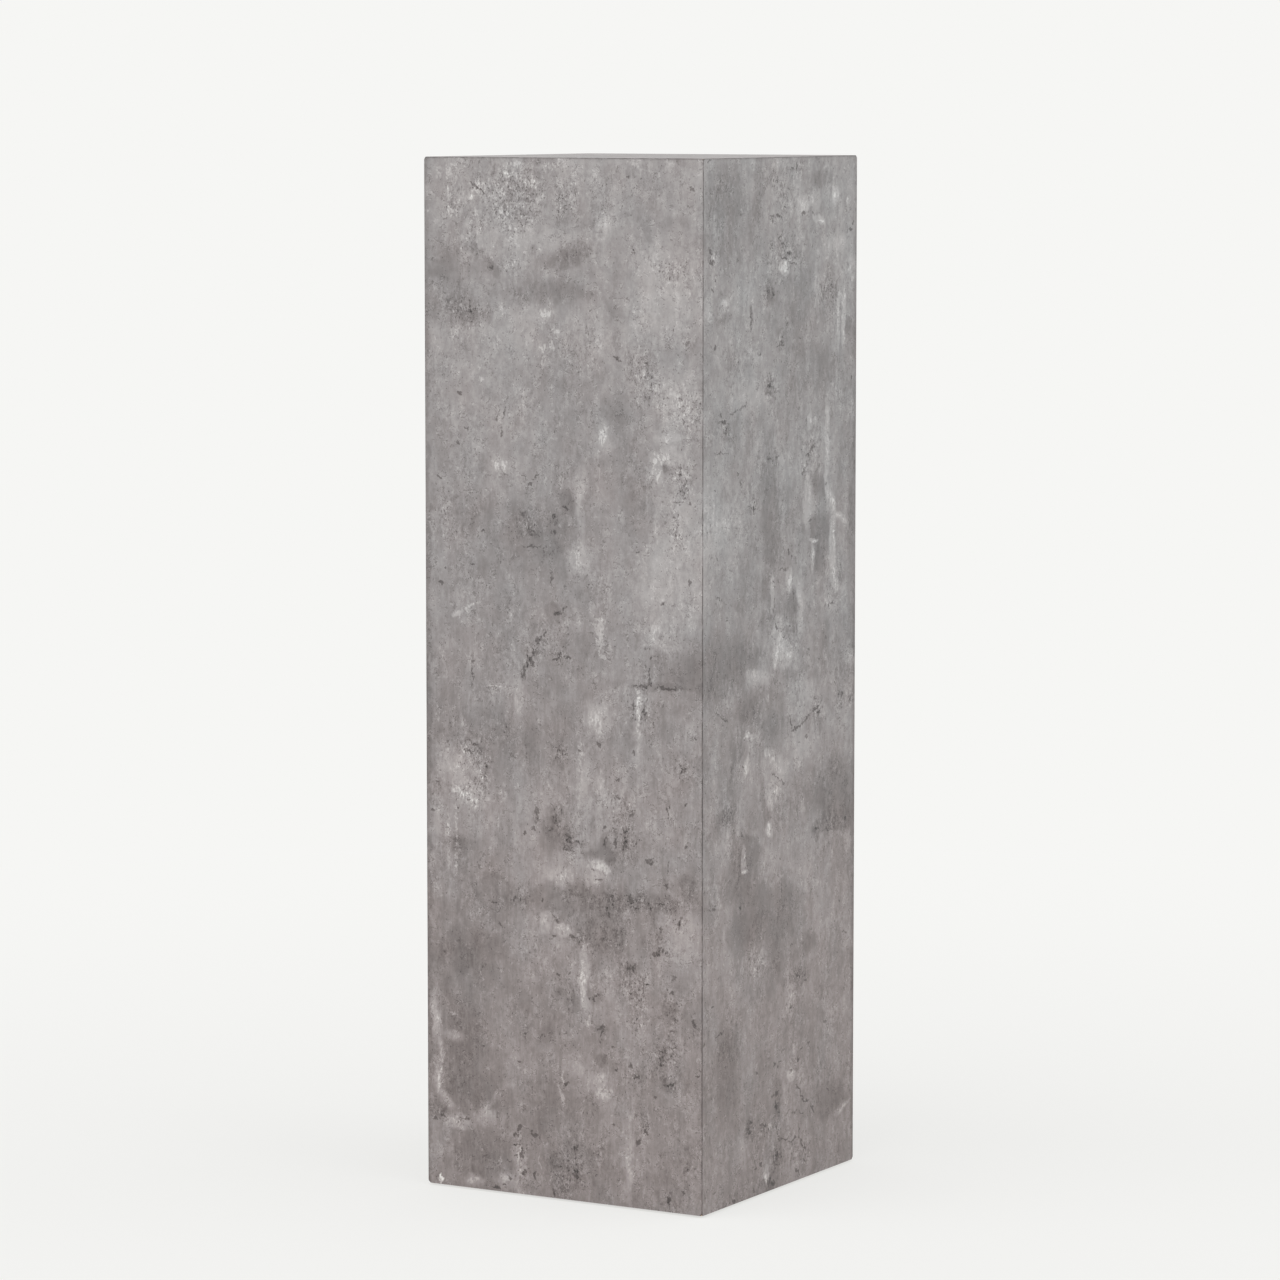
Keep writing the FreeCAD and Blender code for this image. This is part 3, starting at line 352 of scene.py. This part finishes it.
    (454, 95, 2.4, 3.4, -0.26), (446, 94, 2.2, 1.2, -0.24, -30), (453, 83, 2.4, 4.4, -0.32),
    (458, 76, 2.8, 1.2, -0.26, -20), (498, 93, 6, 0.9, -0.26, -38), (506, 83, 7, 1, -0.28, -55),
    (515, 78, 4, 0.8, -0.22, -5), (527, 69, 6.5, 1.1, -0.3, -58), (478, 73, 6, 0.9, -0.2, 15),
    (490, 71, 6, 0.8, -0.17), (505, 67, 4.6, 1.2, -0.22, -30), (396, 70, 2, 3.4, -0.22),
    (402, 75, 3.6, 1.1, -0.2), (400, 66, 2, 1.2, -0.24), (428, 69, 6.5, 0.9, -0.2, -8),
    (457, 55, 1.6, 7, -0.15, 20), (470, 48, 11, 0.9, -0.22, -6), (490, 44, 9, 0.9, -0.2, 10),
    (505, 38, 1.4, 6, -0.2, 30), (512, 32, 1.8, 3.6, -0.26, 30), (500, 52, 0.9, 4.6, -0.2),
    (422, 31, 2.4, 1.3, -0.3, -20), (413, 29, 2, 1.2, -0.22), (455, 34, 5, 2.4, -0.24),
    (452, 25, 4, 5, -0.14), (439, 11, 2.4, 3, -0.28, -25), (447, 8, 4, 3, -0.18),
    (497, 11, 6, 1.1, -0.26, -38), (512, 19, 3, 1.2, -0.22), (560, 82, 2.8, 1.1, -0.26, -15),
    (368, 5, 4, 2.4, -0.2), (408, 8, 2, 4, -0.16), (331, 20, 2, 1.2, -0.22),
)

# Where the print is grainy, with fine dark pits beside pale specks: across, up, half width and
# half height.
GRITTY = (
    # front
    (92, 967, 14, 20), (62, 970, 10, 10), (115, 962, 16, 24), (152, 955, 6, 18), (168, 965, 6, 20),
    (32, 950, 10, 8), (95, 897, 13, 8), (40, 855, 34, 13), (270, 897, 14, 9), (230, 917, 8, 8),
    (245, 790, 20, 25), (287, 765, 20, 15), (287, 705, 10, 12), (287, 690, 10, 10),
    (278, 660, 5, 24), (262, 585, 8, 6), (20, 663, 16, 14), (120, 655, 25, 14), (128, 540, 8, 9),
    (117, 520, 12, 14), (148, 527, 14, 7), (52, 430, 18, 14), (68, 412, 8, 14), (50, 390, 22, 12),
    (12, 380, 10, 18), (88, 390, 6, 10), (150, 435, 10, 12), (147, 372, 6, 14), (160, 352, 8, 12),
    (225, 360, 16, 26), (271, 380, 6, 12), (285, 430, 10, 10), (240, 480, 12, 10), (252, 337, 6, 5),
    (268, 318, 6, 10), (292, 312, 10, 14), (215, 297, 30, 10), (262, 297, 30, 7),
    (105, 290, 16, 12), (195, 268, 26, 22), (170, 255, 12, 8), (283, 280, 8, 8), (235, 212, 10, 14),
    (275, 205, 10, 24), (262, 145, 14, 16), (272, 124, 9, 8), (235, 130, 12, 10), (300, 175, 8, 12),
    (160, 40, 24, 24), (150, 15, 14, 12), (246, 80, 8, 10), (240, 66, 6, 6), (272, 14, 6, 8),
    (12, 74, 10, 8), (38, 68, 10, 4), (105, 50, 9, 20), (110, 22, 8, 10),
    # right side
    (325, 904, 11, 13), (346, 975, 12, 10), (452, 977, 16, 12), (465, 955, 18, 14),
    (446, 943, 12, 5), (498, 988, 16, 8), (470, 905, 24, 18), (438, 917, 6, 6), (436, 872, 10, 12),
    (458, 823, 10, 8), (558, 870, 14, 16), (436, 785, 12, 9), (345, 745, 14, 9), (518, 716, 10, 10),
    (506, 697, 7, 7), (320, 740, 10, 10), (405, 670, 6, 8), (475, 535, 24, 18), (557, 566, 12, 6),
    (535, 465, 12, 12), (605, 465, 8, 8), (582, 465, 10, 14), (355, 380, 10, 8), (533, 345, 10, 8),
    (575, 347, 24, 7), (425, 225, 20, 12), (500, 204, 16, 9), (455, 90, 8, 24), (400, 70, 10, 10),
    (445, 65, 20, 8), (455, 35, 14, 12), (440, 12, 18, 10), (512, 28, 16, 14), (365, 10, 10, 8),
)
FAINTLY_GRITTY = ((110, 955, 80, 40), (240, 190, 30, 60))

FADE = 1.6  # a mark fades out to nothing at this many times its half sizes
MIX_A, MIX_B, MIX_RESULT = 6, 7, 2  # a Mix node's colour sockets, by place: names are shared


def marks_group(name, marks):
    """A node group that sums soft ellipses at a place, each as strong as its mark says."""
    tree = bpy.data.node_groups.new(name, "ShaderNodeTree")
    tree.interface.new_socket("Place", in_out="INPUT", socket_type="NodeSocketVector")
    tree.interface.new_socket("Sum", in_out="OUTPUT", socket_type="NodeSocketFloat")
    place = tree.nodes.new("NodeGroupInput").outputs["Place"]
    total = 0.0
    for across, up, half_width, half_height, strength, *turn in marks:
        inside = add(tree, "Mapping",
                     {"Vector": place, "Location": (across, up, 0),
                      "Rotation": (0, 0, radians(turn[0] if turn else 0)),
                      "Scale": (FADE * half_width, FADE * half_height, 1)}, vector_type="TEXTURE")
        fade = add(tree, "TexGradient", {"Vector": inside}, "Fac",
                   gradient_type="SPHERICAL")
        total = add(tree, "Math", {0: fade, 1: strength, 2: total},
                    operation="MULTIPLY_ADD")
    tree.links.new(total, tree.nodes.new("NodeGroupOutput").inputs["Sum"])
    return tree


def wandering(tree, place, size, reach, shift):
    """The place, moved up to a reach in millimetres by noise of a size, for ragged edges."""
    noise = lumps(tree, place, size, size, shift, roughness=0.6, output="Color")
    centred = add(tree, "VectorMath", {0: noise, 1: (0.5, 0.5, 0.5)},
                  operation="SUBTRACT")
    flat = add(tree, "VectorMath", {0: centred, 1: (2 * reach, 2 * reach, 0)},
               operation="MULTIPLY")
    return add(tree, "VectorMath", {0: place, 1: flat}, operation="ADD")


# cast concrete as the decor prints it, from a pit's floor to a flake of lime
WARM_CONCRETE = ("#2f2a28", "#6c6361", "#8b8280", "#9e9594", "#b7afad", "#edeae6")
COOL_CONCRETE = ("#2c2c2d", "#656566", "#848485", "#959697", "#adaeaf", "#eaebeb")
LAMINATE_CORE = "#3f3937"  # kraft paper soaked in resin, dark brown


def concrete_decor(name, start, coolness, depth, combing, patching):
    """The printed decor of two sides as a node group: a place on the unrolled laminate goes in.
    start is where its marks begin. The others are strengths: coolness of the blue high up, depth
    of the grain, combing of the fine upright streaks and patching of the cast's patches."""
    def near(kind, marks):
        return marks_group(f"{kind}, {name}",
                           [mark for mark in marks
                            if start - mark[2] < mark[0] < start + WIDTH + mark[2]])

    full_grit, faint_grit = 1.5, 0.75
    grainy = [(*mark, full_grit) for mark in GRITTY]
    grainy += [(*mark, faint_grit) for mark in FAINTLY_GRITTY]
    groups = {"shades": near("shades", SHADES), "chalk": near("chalk", CHALK),
              "voids": near("voids", VOIDS), "gritty": near("gritty", grainy)}
    tree = bpy.data.node_groups.new(name, "ShaderNodeTree")
    sockets = tree.interface
    sockets.new_socket("Place", in_out="INPUT", socket_type="NodeSocketVector")
    sockets.new_socket("Inward", in_out="INPUT", socket_type="NodeSocketFloat")
    for output, kind in (("Color", "Color"), ("Roughness", "Float"), ("Height", "Float")):
        sockets.new_socket(output, in_out="OUTPUT", socket_type=f"NodeSocket{kind}")
    given = tree.nodes.new("NodeGroupInput").outputs
    place = given["Place"]
    split = add(tree, "SeparateXYZ", {0: place}).node
    around, height = split.outputs["X"], split.outputs["Y"]

    def marked(level, kind):
        return add(tree, "Group", {"Place": level}, "Sum", node_tree=groups[kind])

    def apart(first, second):
        gap = add(tree, "Math", {0: first, 1: second}, operation="SUBTRACT")
        return add(tree, "Math", {0: gap}, operation="ABSOLUTE")

    # the listed marks run round the column and back again, so every corner joins up
    round_trip = add(tree, "Math", {0: around, 1: WIDTH + DEPTH}, operation="PINGPONG")
    mark_place = add(tree, "CombineXYZ", {"X": round_trip, "Y": height})
    ragged = wandering(tree, mark_place, size=20, reach=7, shift=40)
    crisp = wandering(tree, mark_place, size=6, reach=4, shift=90)

    # clouds, damp runs and mottling, from coarse to fine, over a tone that is darker towards the
    # floor
    tone = add(tree, "MapRange", {"Value": height, "From Max": HEIGHT, "To Min": 0.533,
                                  "To Max": 0.610})
    clouds = lumps(tree, place, across=90, up=130, shift=11, roughness=0.8)
    cast = lumps(tree, crisp, across=34, up=56, shift=31, detail=4.0, roughness=0.72)
    film = lumps(tree, crisp, across=13, up=24, shift=131, detail=3.0, roughness=0.75)
    runs = lumps(tree, ragged, across=6, up=42, shift=23)
    damp = lumps(tree, ragged, across=14, up=90, shift=29, detail=3.0, roughness=0.8)
    mottle = lumps(tree, place, across=11, up=15, shift=37, detail=1.0, roughness=0.9)
    patches = lumps(tree, place, across=40, up=55, shift=67)
    tone = weighted(tree, tone, clouds, weight=0.14, centre=0.5)
    tone = weighted(tree, tone, damp, weight=0.05, centre=0.5)
    tone = weighted(tree, tone, mottle, weight=0.08 * depth, centre=0.5)
    streaky = add(tree, "MapRange", {"Value": patches, "From Min": 0.38, "From Max": 0.58},
                  **SMOOTH)
    for low, high, weight in ((0.56, 0.66, 0.030), (0.42, 0.34, -0.030)):
        tone = layered(tree, tone, runs, low, high, weight, centre=0.15, mask=streaky)
    tone = layered(tree, tone, cast, low=0.46, high=0.54, weight=0.022 * depth, centre=0.5)

    # combing: fine upright streaks, clearest in the lower half
    fibres = lumps(tree, place, across=2.4, up=26, shift=157, roughness=0.75)
    fibres = add(tree, "Math", {0: fibres, 1: 0.5}, operation="SUBTRACT")
    lower = add(tree, "MapRange", {"Value": height, "From Min": 640, "From Max": 430,
                                   "To Min": 0.45}, **SMOOTH)
    combed = add(tree, "Math", {0: fibres, 1: lower}, operation="MULTIPLY")
    tone = weighted(tree, tone, combed, weight=combing)

    # patches of the cast, with the painted shade down the outer corners: level within, with ragged
    # rims
    patch = add(tree, "Math", {0: marked(ragged, "shades"), 1: patching}, operation="MULTIPLY")
    patch = weighted(tree, patch, film, weight=0.085, centre=0.5)
    rim = 0.062
    level = 0.072 * depth
    tone = layered(tree, tone, patch, low=-rim, high=rim, weight=2 * level, centre=0.5)

    # grain: crisp where the print is gritty, faint where it is smooth
    grit = weighted(tree, marked(ragged, "gritty"), patches, weight=3.2, centre=0.36)
    grit = add(tree, "Clamp", {"Value": grit, "Min": 0.35, "Max": 1.9})
    grain = lumps(tree, place, across=6, up=8, shift=47, detail=3.0, roughness=0.95)
    grains = add(tree, "Math", {0: grain, 1: 0.5}, operation="SUBTRACT")
    grains = add(tree, "Math", {0: grains, 1: grit}, operation="MULTIPLY")
    tone = weighted(tree, tone, grains, weight=0.31 * depth)

    # fine dark pits and pale specks, more of them where it is gritty
    speckle = lumps(tree, place, across=2.2, up=3.2, shift=61, detail=1.0, roughness=0.6)
    pit_line = weighted(tree, 0.215, grit, weight=0.085)
    pits = add(tree, "Math", {0: pit_line, 1: speckle}, operation="SUBTRACT")
    tone = layered(tree, tone, pits, low=0, high=0.07, weight=-0.19 * depth)
    flecks = lumps(tree, place, across=2.4, up=4.8, shift=79, detail=1.0)
    speck_line = weighted(tree, 0.82, grit, weight=-0.09)
    specks = add(tree, "Math", {0: flecks, 1: speck_line}, operation="SUBTRACT")
    tone = layered(tree, tone, specks, low=0, high=0.10, weight=0.12 * depth)

    # chalky flakes with broken, crisp rims
    chalk = marked(crisp, "chalk")
    chalky = add(tree, "MapRange", {"Value": chalk, "From Max": 0.10}, **SMOOTH)
    flakes = weighted(tree, chalk, flecks, weight=0.62, centre=0.5)
    tone = layered(tree, tone, flakes, low=0.055, high=0.115, weight=0.10, mask=chalky)
    tone = weighted(tree, tone, chalk, weight=0.13)

    # the larger voids and cracks, broken up in the same way
    void = marked(crisp, "voids")
    hollow = add(tree, "MapRange", {"Value": void, "From Min": -0.01, "From Max": -0.06},
                 **SMOOTH)
    broken = weighted(tree, void, speckle, weight=0.30, centre=0.52)
    tone = layered(tree, tone, broken, low=-0.05, high=-0.14, weight=-0.16, mask=hollow)
    tone = weighted(tree, tone, void, weight=0.20)

    # hair cracks: fine curling lines, dark with a pale lip, here and there
    curl = lumps(tree, crisp, across=15, up=11, shift=171, detail=3.0)
    dotted = add(tree, "MapRange", {"Value": speckle, "From Min": 0.30, "From Max": 0.56},
                 **SMOOTH)
    filmy = add(tree, "MapRange", {"Value": film, "From Min": 0.45, "From Max": 0.58}, **SMOOTH)
    cracked = add(tree, "Math", {0: dotted, 1: filmy}, operation="MULTIPLY")
    for crest, strength in ((0.50, -0.125), (0.545, 0.075)):
        tone = layered(tree, tone, apart(curl, crest), low=0.036, high=0.006, weight=strength,
                       mask=cracked)

    # handled edges: a soiled line down each corner, heavier low down, and round the top
    corner_gap = add(tree, "Math", {0: around, 1: WIDTH / 2}, operation="PINGPONG")
    smears = lumps(tree, place, across=3, up=8, shift=151, roughness=0.8)
    smeared = add(tree, "MapRange", {"Value": smears, "From Min": 0.42, "From Max": 0.60,
                                     "To Min": 0.1}, **SMOOTH)
    handled = add(tree, "MapRange", {"Value": height, "From Min": 700, "From Max": 420,
                                     "To Min": 0.3}, **SMOOTH)
    soiled = add(tree, "Math", {0: smeared, 1: handled}, operation="MULTIPLY")
    tone = layered(tree, tone, corner_gap, low=2.2, high=0.2, weight=-0.11, mask=soiled)
    tone = layered(tree, tone, apart(height, HEIGHT), low=2.6, high=0.6, weight=-0.06)

    # warm and reddish low down, cooler higher up
    hue_drift = lumps(tree, place, across=50, up=70, shift=113)
    cool = add(tree, "MapRange", {"Value": height, "From Min": 80, "From Max": 700,
                                  "To Min": 0.02, "To Max": coolness}, **SMOOTH)
    cool = weighted(tree, cool, hue_drift, weight=0.6, centre=0.5)
    warm_print, cool_print = (
        add(tree, "ValToRGB", {"Fac": tone}, stops=[(tone_of(code), code) for code in family])
        for family in (WARM_CONCRETE, COOL_CONCRETE))
    colour = add(tree, "Mix", {"Factor": cool, MIX_A: warm_print, MIX_B: cool_print}, MIX_RESULT,
                 data_type="RGBA")

    # the print is a film on the face: deeper in, the laminate's edge is dark core
    core = add(tree, "MapRange", {"Value": given["Inward"], "From Min": 0.03, "From Max": 0.09},
               **SMOOTH)
    worn = add(tree, "MapRange", {"Value": mottle, "From Min": 0.36, "From Max": 0.62,
                                  "To Min": 0.35, "To Max": 0.95}, **SMOOTH)
    core = add(tree, "Math", {0: core, 1: worn}, operation="MULTIPLY")
    colour = add(tree, "Mix", {"Factor": core, MIX_A: colour, MIX_B: linear(LAMINATE_CORE)},
                 MIX_RESULT, data_type="RGBA")

    result = tree.nodes.new("NodeGroupOutput").inputs
    tree.links.new(colour, result["Color"])
    tree.links.new(weighted(tree, 0.50, mottle, weight=0.12, centre=0.5), result["Roughness"])
    tree.links.new(grain, result["Height"])
    return tree


# ---------------------------------------------------------------- materials

def material(name, roughness=0.5, metallic=0.0):
    """A new node material: its tree, its shader and its object coordinates."""
    made = bpy.data.materials.new(name)
    made.use_nodes = True
    tree = made.node_tree
    shader = tree.nodes["Principled BSDF"]
    shader.inputs["Roughness"].default_value = roughness
    shader.inputs["Metallic"].default_value = metallic
    place = add(tree, "TexCoord", {}, "Object")
    return made, tree, shader, place


def laminate(name, decor, across, start, inward_axis, inward_sign, up_start=0.0):
    """High-pressure laminate: decor paper pressed in melamine against a matt plate. Dry and
    even to the eye, with a soft sheen only at a grazing angle."""
    made, tree, shader, place = material(name)
    split = add(tree, "SeparateXYZ", {0: place}).node
    axis, sign = across
    run = add(tree, "Math", {0: split.outputs[axis], 1: sign * MM, 2: start},
              operation="MULTIPLY_ADD")
    rise_axis = "Y" if inward_axis == "Z" else "Z"
    rise = add(tree, "Math", {0: split.outputs[rise_axis], 1: MM, 2: up_start},
               operation="MULTIPLY_ADD")
    half = {"X": WIDTH / 2, "Y": DEPTH / 2, "Z": HEIGHT}[inward_axis]
    inward = add(tree, "Math", {0: split.outputs[inward_axis], 1: inward_sign * MM,
                                          2: half}, operation="MULTIPLY_ADD")
    unrolled = add(tree, "CombineXYZ", {"X": run, "Y": rise})
    group = add(tree, "Group", {"Place": unrolled, "Inward": inward}, node_tree=decor).node
    tree.links.new(group.outputs["Color"], shader.inputs["Base Color"])
    tree.links.new(group.outputs["Roughness"], shader.inputs["Roughness"])
    relief = add(tree, "Bump",
                 {"Height": group.outputs["Height"], "Strength": 0.3, "Distance": 0.1 / MM})
    tree.links.new(relief, shader.inputs["Normal"])
    shader.inputs["IOR"].default_value = 1.5
    return made


def fibreboard():
    """Raw medium-density fibreboard: wood fibre pressed with resin. Flat tan with a fine felt
    of lighter and darker fibres."""
    made, tree, shader, place = material("raw fibreboard", roughness=0.85)
    millimetres = add(tree, "VectorMath", {0: place, "Scale": MM}, operation="SCALE")
    fibre_size, patch_size = 1.4, 45
    felt = add(tree, "TexNoise",
               {"Vector": millimetres, "Scale": 1 / fibre_size, "Detail": 3.0, "Roughness": 0.7},
               "Fac")
    patch = add(tree, "TexNoise",
                {"Vector": millimetres, "Scale": 1 / patch_size, "Detail": 2.0, "Roughness": 0.6},
                "Fac")
    tone = weighted(tree, felt, patch, weight=0.5, centre=0.5)
    shade = add(tree, "ValToRGB", {"Fac": tone},
                stops=[(0.25, "#8d7150"), (0.5, "#aa8c66"), (0.75, "#c2a680")])
    tree.links.new(shade, shader.inputs["Base Color"])
    relief = add(tree, "Bump", {"Height": felt, "Strength": 0.5, "Distance": 0.1 / MM})
    tree.links.new(relief, shader.inputs["Normal"])
    return made


def plywood():
    """Raw birch plywood splines: veneers glued crosswise. Pale, with darker glue lines and end
    grain between them."""
    made, tree, shader, place = material("birch plywood", roughness=0.7)
    millimetres = add(tree, "VectorMath", {0: place, "Scale": MM}, operation="SCALE")
    folded = add(tree, "VectorMath", {0: millimetres}, operation="ABSOLUTE")
    veneer_thickness, fibre_size = 1.33, 0.7
    across_veneers = (0.7071, 0.7071, 0)
    diagonal = add(tree, "VectorMath", {0: folded, 1: across_veneers}, "Value",
                   operation="DOT_PRODUCT")
    veneer = add(tree, "Math", {0: diagonal, 1: veneer_thickness}, operation="PINGPONG")
    fibre = add(tree, "TexNoise",
                {"Vector": millimetres, "Scale": 1 / fibre_size, "Detail": 2.0, "Roughness": 0.6},
                "Fac")
    tone = weighted(tree, veneer, fibre, weight=0.5, centre=0.5)
    shade = add(tree, "ValToRGB", {"Fac": tone},
                stops=[(0.15, "#8f7048"), (0.4, "#c2a06f"), (0.9, "#d9be92")])
    tree.links.new(shade, shader.inputs["Base Color"])
    return made


def pine(name, stretch):
    """Planed pine: pale and warm, with darker grain lines along the strip. stretch gives the
    grain's size in millimetres along X, Y and Z."""
    made, tree, shader, place = material(name, roughness=0.6)
    sized = add(tree, "Mapping",
                {"Vector": place, "Scale": [size / MM for size in stretch]}, vector_type="TEXTURE")
    rings = add(tree, "TexNoise",
                {"Vector": sized, "Scale": 1.0, "Detail": 3.0, "Roughness": 0.55,
                 "Distortion": 0.6}, "Fac")
    shade = add(tree, "ValToRGB", {"Fac": rings},
                stops=[(0.3, "#c49a63"), (0.5, "#dcb883"), (0.7, "#e8cd9f")])
    tree.links.new(shade, shader.inputs["Base Color"])
    relief = add(tree, "Bump", {"Height": rings, "Strength": 0.3, "Distance": 0.2 / MM})
    tree.links.new(relief, shader.inputs["Normal"])
    return made


def glide_plastic():
    """Moulded polyethylene glides: milky and soft, scuffed where they meet the floor."""
    made, tree, shader, place = material("moulded polyethylene", roughness=0.45)
    scuff_size = 2.5
    scuffs = add(tree, "TexNoise",
                 {"Vector": place, "Scale": MM / scuff_size, "Detail": 3.0,
                  "Roughness": 0.65}, "Fac")
    shade = add(tree, "ValToRGB", {"Fac": scuffs},
                stops=[(0.3, "#b9b6ae"), (0.55, "#d2cfc7"), (0.8, "#dedbd4")])
    tree.links.new(shade, shader.inputs["Base Color"])
    dull = add(tree, "MapRange", {"Value": scuffs, "From Min": 0.3, "From Max": 0.8,
                                  "To Min": 0.62, "To Max": 0.38}, **SMOOTH)
    tree.links.new(dull, shader.inputs["Roughness"])
    shader.inputs["Subsurface Weight"].default_value = 0.1
    shader.inputs["Subsurface Scale"].default_value = 2 / MM
    return made


def zinc_plate():
    """Bright zinc plating on steel: bluish white metal, cloudy from the bath."""
    made, tree, shader, place = material("bright zinc plate", roughness=0.35, metallic=1.0)
    cloud_size = 1.2
    bloom = add(tree, "TexNoise",
                {"Vector": place, "Scale": MM / cloud_size, "Detail": 3.0,
                 "Roughness": 0.6}, "Fac")
    shade = add(tree, "ValToRGB", {"Fac": bloom},
                stops=[(0.3, "#9fa3a6"), (0.55, "#bcc0c2"), (0.8, "#d3d5d4")])
    tree.links.new(shade, shader.inputs["Base Color"])
    dull = add(tree, "MapRange", {"Value": bloom, "From Min": 0.3, "From Max": 0.8,
                                  "To Min": 0.48, "To Max": 0.26}, **SMOOTH)
    tree.links.new(dull, shader.inputs["Roughness"])
    return made


def dress_column():
    """Gives each piece of the frame its finish. The decor runs on round the corners."""
    # the right and back get more blue high up: that extra blue is painted cool light on that side,
    # over the print's own blue that rises with height
    front_decor = concrete_decor("decor, front and left", start=0, coolness=0.42, depth=1.0,
                                 combing=0.085, patching=2.5)
    right_decor = concrete_decor("decor, right and back", start=WIDTH, coolness=0.58,
                                 depth=1.15, combing=0.025, patching=2.7)
    half_round = WIDTH + DEPTH
    faces = {
        "front": laminate("printed laminate, front", front_decor, ("X", 1), WIDTH / 2, "Y", 1),
        "right": laminate("printed laminate, right", right_decor, ("Y", 1), WIDTH + DEPTH / 2,
                          "X", -1),
        "back": laminate("printed laminate, back", right_decor, ("X", -1),
                         half_round + WIDTH / 2, "Y", -1),
        "left": laminate("printed laminate, left", front_decor, ("Y", -1),
                         half_round + WIDTH + DEPTH / 2, "X", 1),
        "top": laminate("printed laminate, top", front_decor, ("X", 1), WIDTH / 2, "Z", -1,
                        HEIGHT + DEPTH / 2),
    }
    board = fibreboard()
    ply = plywood()
    ring, streak = 4, 120  # how wide and how long pine's grain lines are, in millimetres
    pine_upright = pine("planed pine, upright", (ring, ring, streak))
    pine_across = pine("planed pine, across", (streak, ring, ring))
    pine_deep = pine("planed pine, front to back", (ring, streak, ring))
    plastic = glide_plastic()
    zinc = zinc_plate()
    for name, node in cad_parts.items():
        side, _, form = name.rpartition("_")
        if form == "laminate":
            finish = faces[side]
        elif form == "board":
            finish = board
        elif form == "spline":
            finish = ply
        elif form == "batten":
            finish = pine_upright
        elif form == "cleat":
            finish = pine_deep if side.endswith(("left", "right")) else pine_across
        elif form == "glide":
            finish = plastic
        else:
            finish = zinc
        node.data.materials.clear()
        node.data.materials.append(finish)


# ---------------------------------------------------------------- studio and camera

PALE = "#f6f6f4"


def seen_directly(tree):
    """1 for a ray that shows the background: from the camera, a reflection or a clear body."""
    path = add(tree, "LightPath", {}).node.outputs
    shown = add(tree, "Math", {0: path["Is Camera Ray"], 1: path["Is Glossy Ray"]},
                operation="MAXIMUM")
    return add(tree, "Math", {0: shown, 1: path["Is Transmission Ray"]},
               operation="MAXIMUM")


def studio_floor():
    """A pale seamless floor. Near the column it takes the shadow; further off it is plain."""
    mesh = bmesh.new()
    half_width = 60.0
    bmesh.ops.create_grid(mesh, x_segments=1, y_segments=1, size=half_width)
    sheet = bpy.data.meshes.new("studio_floor")
    mesh.to_mesh(sheet)
    mesh.free()
    floor = bpy.data.objects.new("studio_floor", sheet)
    bpy.context.scene.collection.objects.link(floor)
    made, tree, shader, place = material("pale studio paper", roughness=0.9)
    shader.inputs["Base Color"].default_value = linear("#f3f3f1")
    shader.inputs["Specular IOR Level"].default_value = 0.1
    distance = add(tree, "VectorMath", {0: place}, "Value", operation="LENGTH")
    plain = add(tree, "MapRange", {"Value": distance, "From Min": 0.4, "From Max": 2.2,
                                   "To Min": 0.70}, **SMOOTH)
    shown = add(tree, "Math", {0: seen_directly(tree), 1: plain}, operation="MULTIPLY")
    glow = add(tree, "Emission", {"Color": linear(PALE), "Strength": 1.0})
    surface = add(tree, "MixShader", {0: shown, 1: shader.outputs[0], 2: glow})
    tree.links.new(surface, tree.nodes["Material Output"].inputs["Surface"])
    sheet.materials.append(made)


def studio_light():
    """Even light from all round, with two broad soft lamps from above."""
    world = bpy.data.worlds.new("pale studio")
    bpy.context.scene.world = world
    world.use_nodes = True
    tree = world.node_tree
    tree.nodes.clear()
    backdrop = add(tree, "Background", {"Color": linear(PALE), "Strength": 1.0})
    white, fill = (1, 1, 1, 1), 0.62
    glow = add(tree, "Background", {"Color": white, "Strength": fill})
    shown = add(tree, "MixShader", {0: seen_directly(tree), 1: glow, 2: backdrop})
    tree.links.new(shown, tree.nodes.new("ShaderNodeOutputWorld").inputs["Surface"])
    tip, softness = 48, 70
    for name, turn, strength in (("front_lamp", -20, 0.9), ("right_lamp", 100, 0.60)):
        lamp = bpy.data.lights.new(name, "SUN")
        lamp.energy = strength
        lamp.angle = radians(softness)
        holder = bpy.data.objects.new(name, lamp)
        holder.rotation_euler = (radians(tip), 0, radians(turn))
        bpy.context.scene.collection.objects.link(holder)


def photo_camera():
    """Looks at the near corner from the photograph's own place, at chest height."""
    lens_on_36_mm = 145.343
    turn, dip = 30.0722, 6.0632
    from_near_foot = Vector((2.36498, -4.20194, 1.06247))  # in heights of the column's body
    near_foot = Vector((column_high.x, column_low.y, skirt_low))
    data = bpy.data.cameras.new("photo_camera")
    data.lens = lens_on_36_mm
    data.sensor_width = 36
    camera = bpy.data.objects.new("photo_camera", data)
    camera.location = near_foot + from_near_foot * (column_high.z - skirt_low)
    camera.rotation_euler = (radians(90 - dip), 0, radians(turn))
    bpy.context.scene.collection.objects.link(camera)
    bpy.context.scene.camera = camera


photo_camera()
dress_column()
studio_floor()
studio_light()
bpy.context.scene.view_settings.view_transform = "Standard"
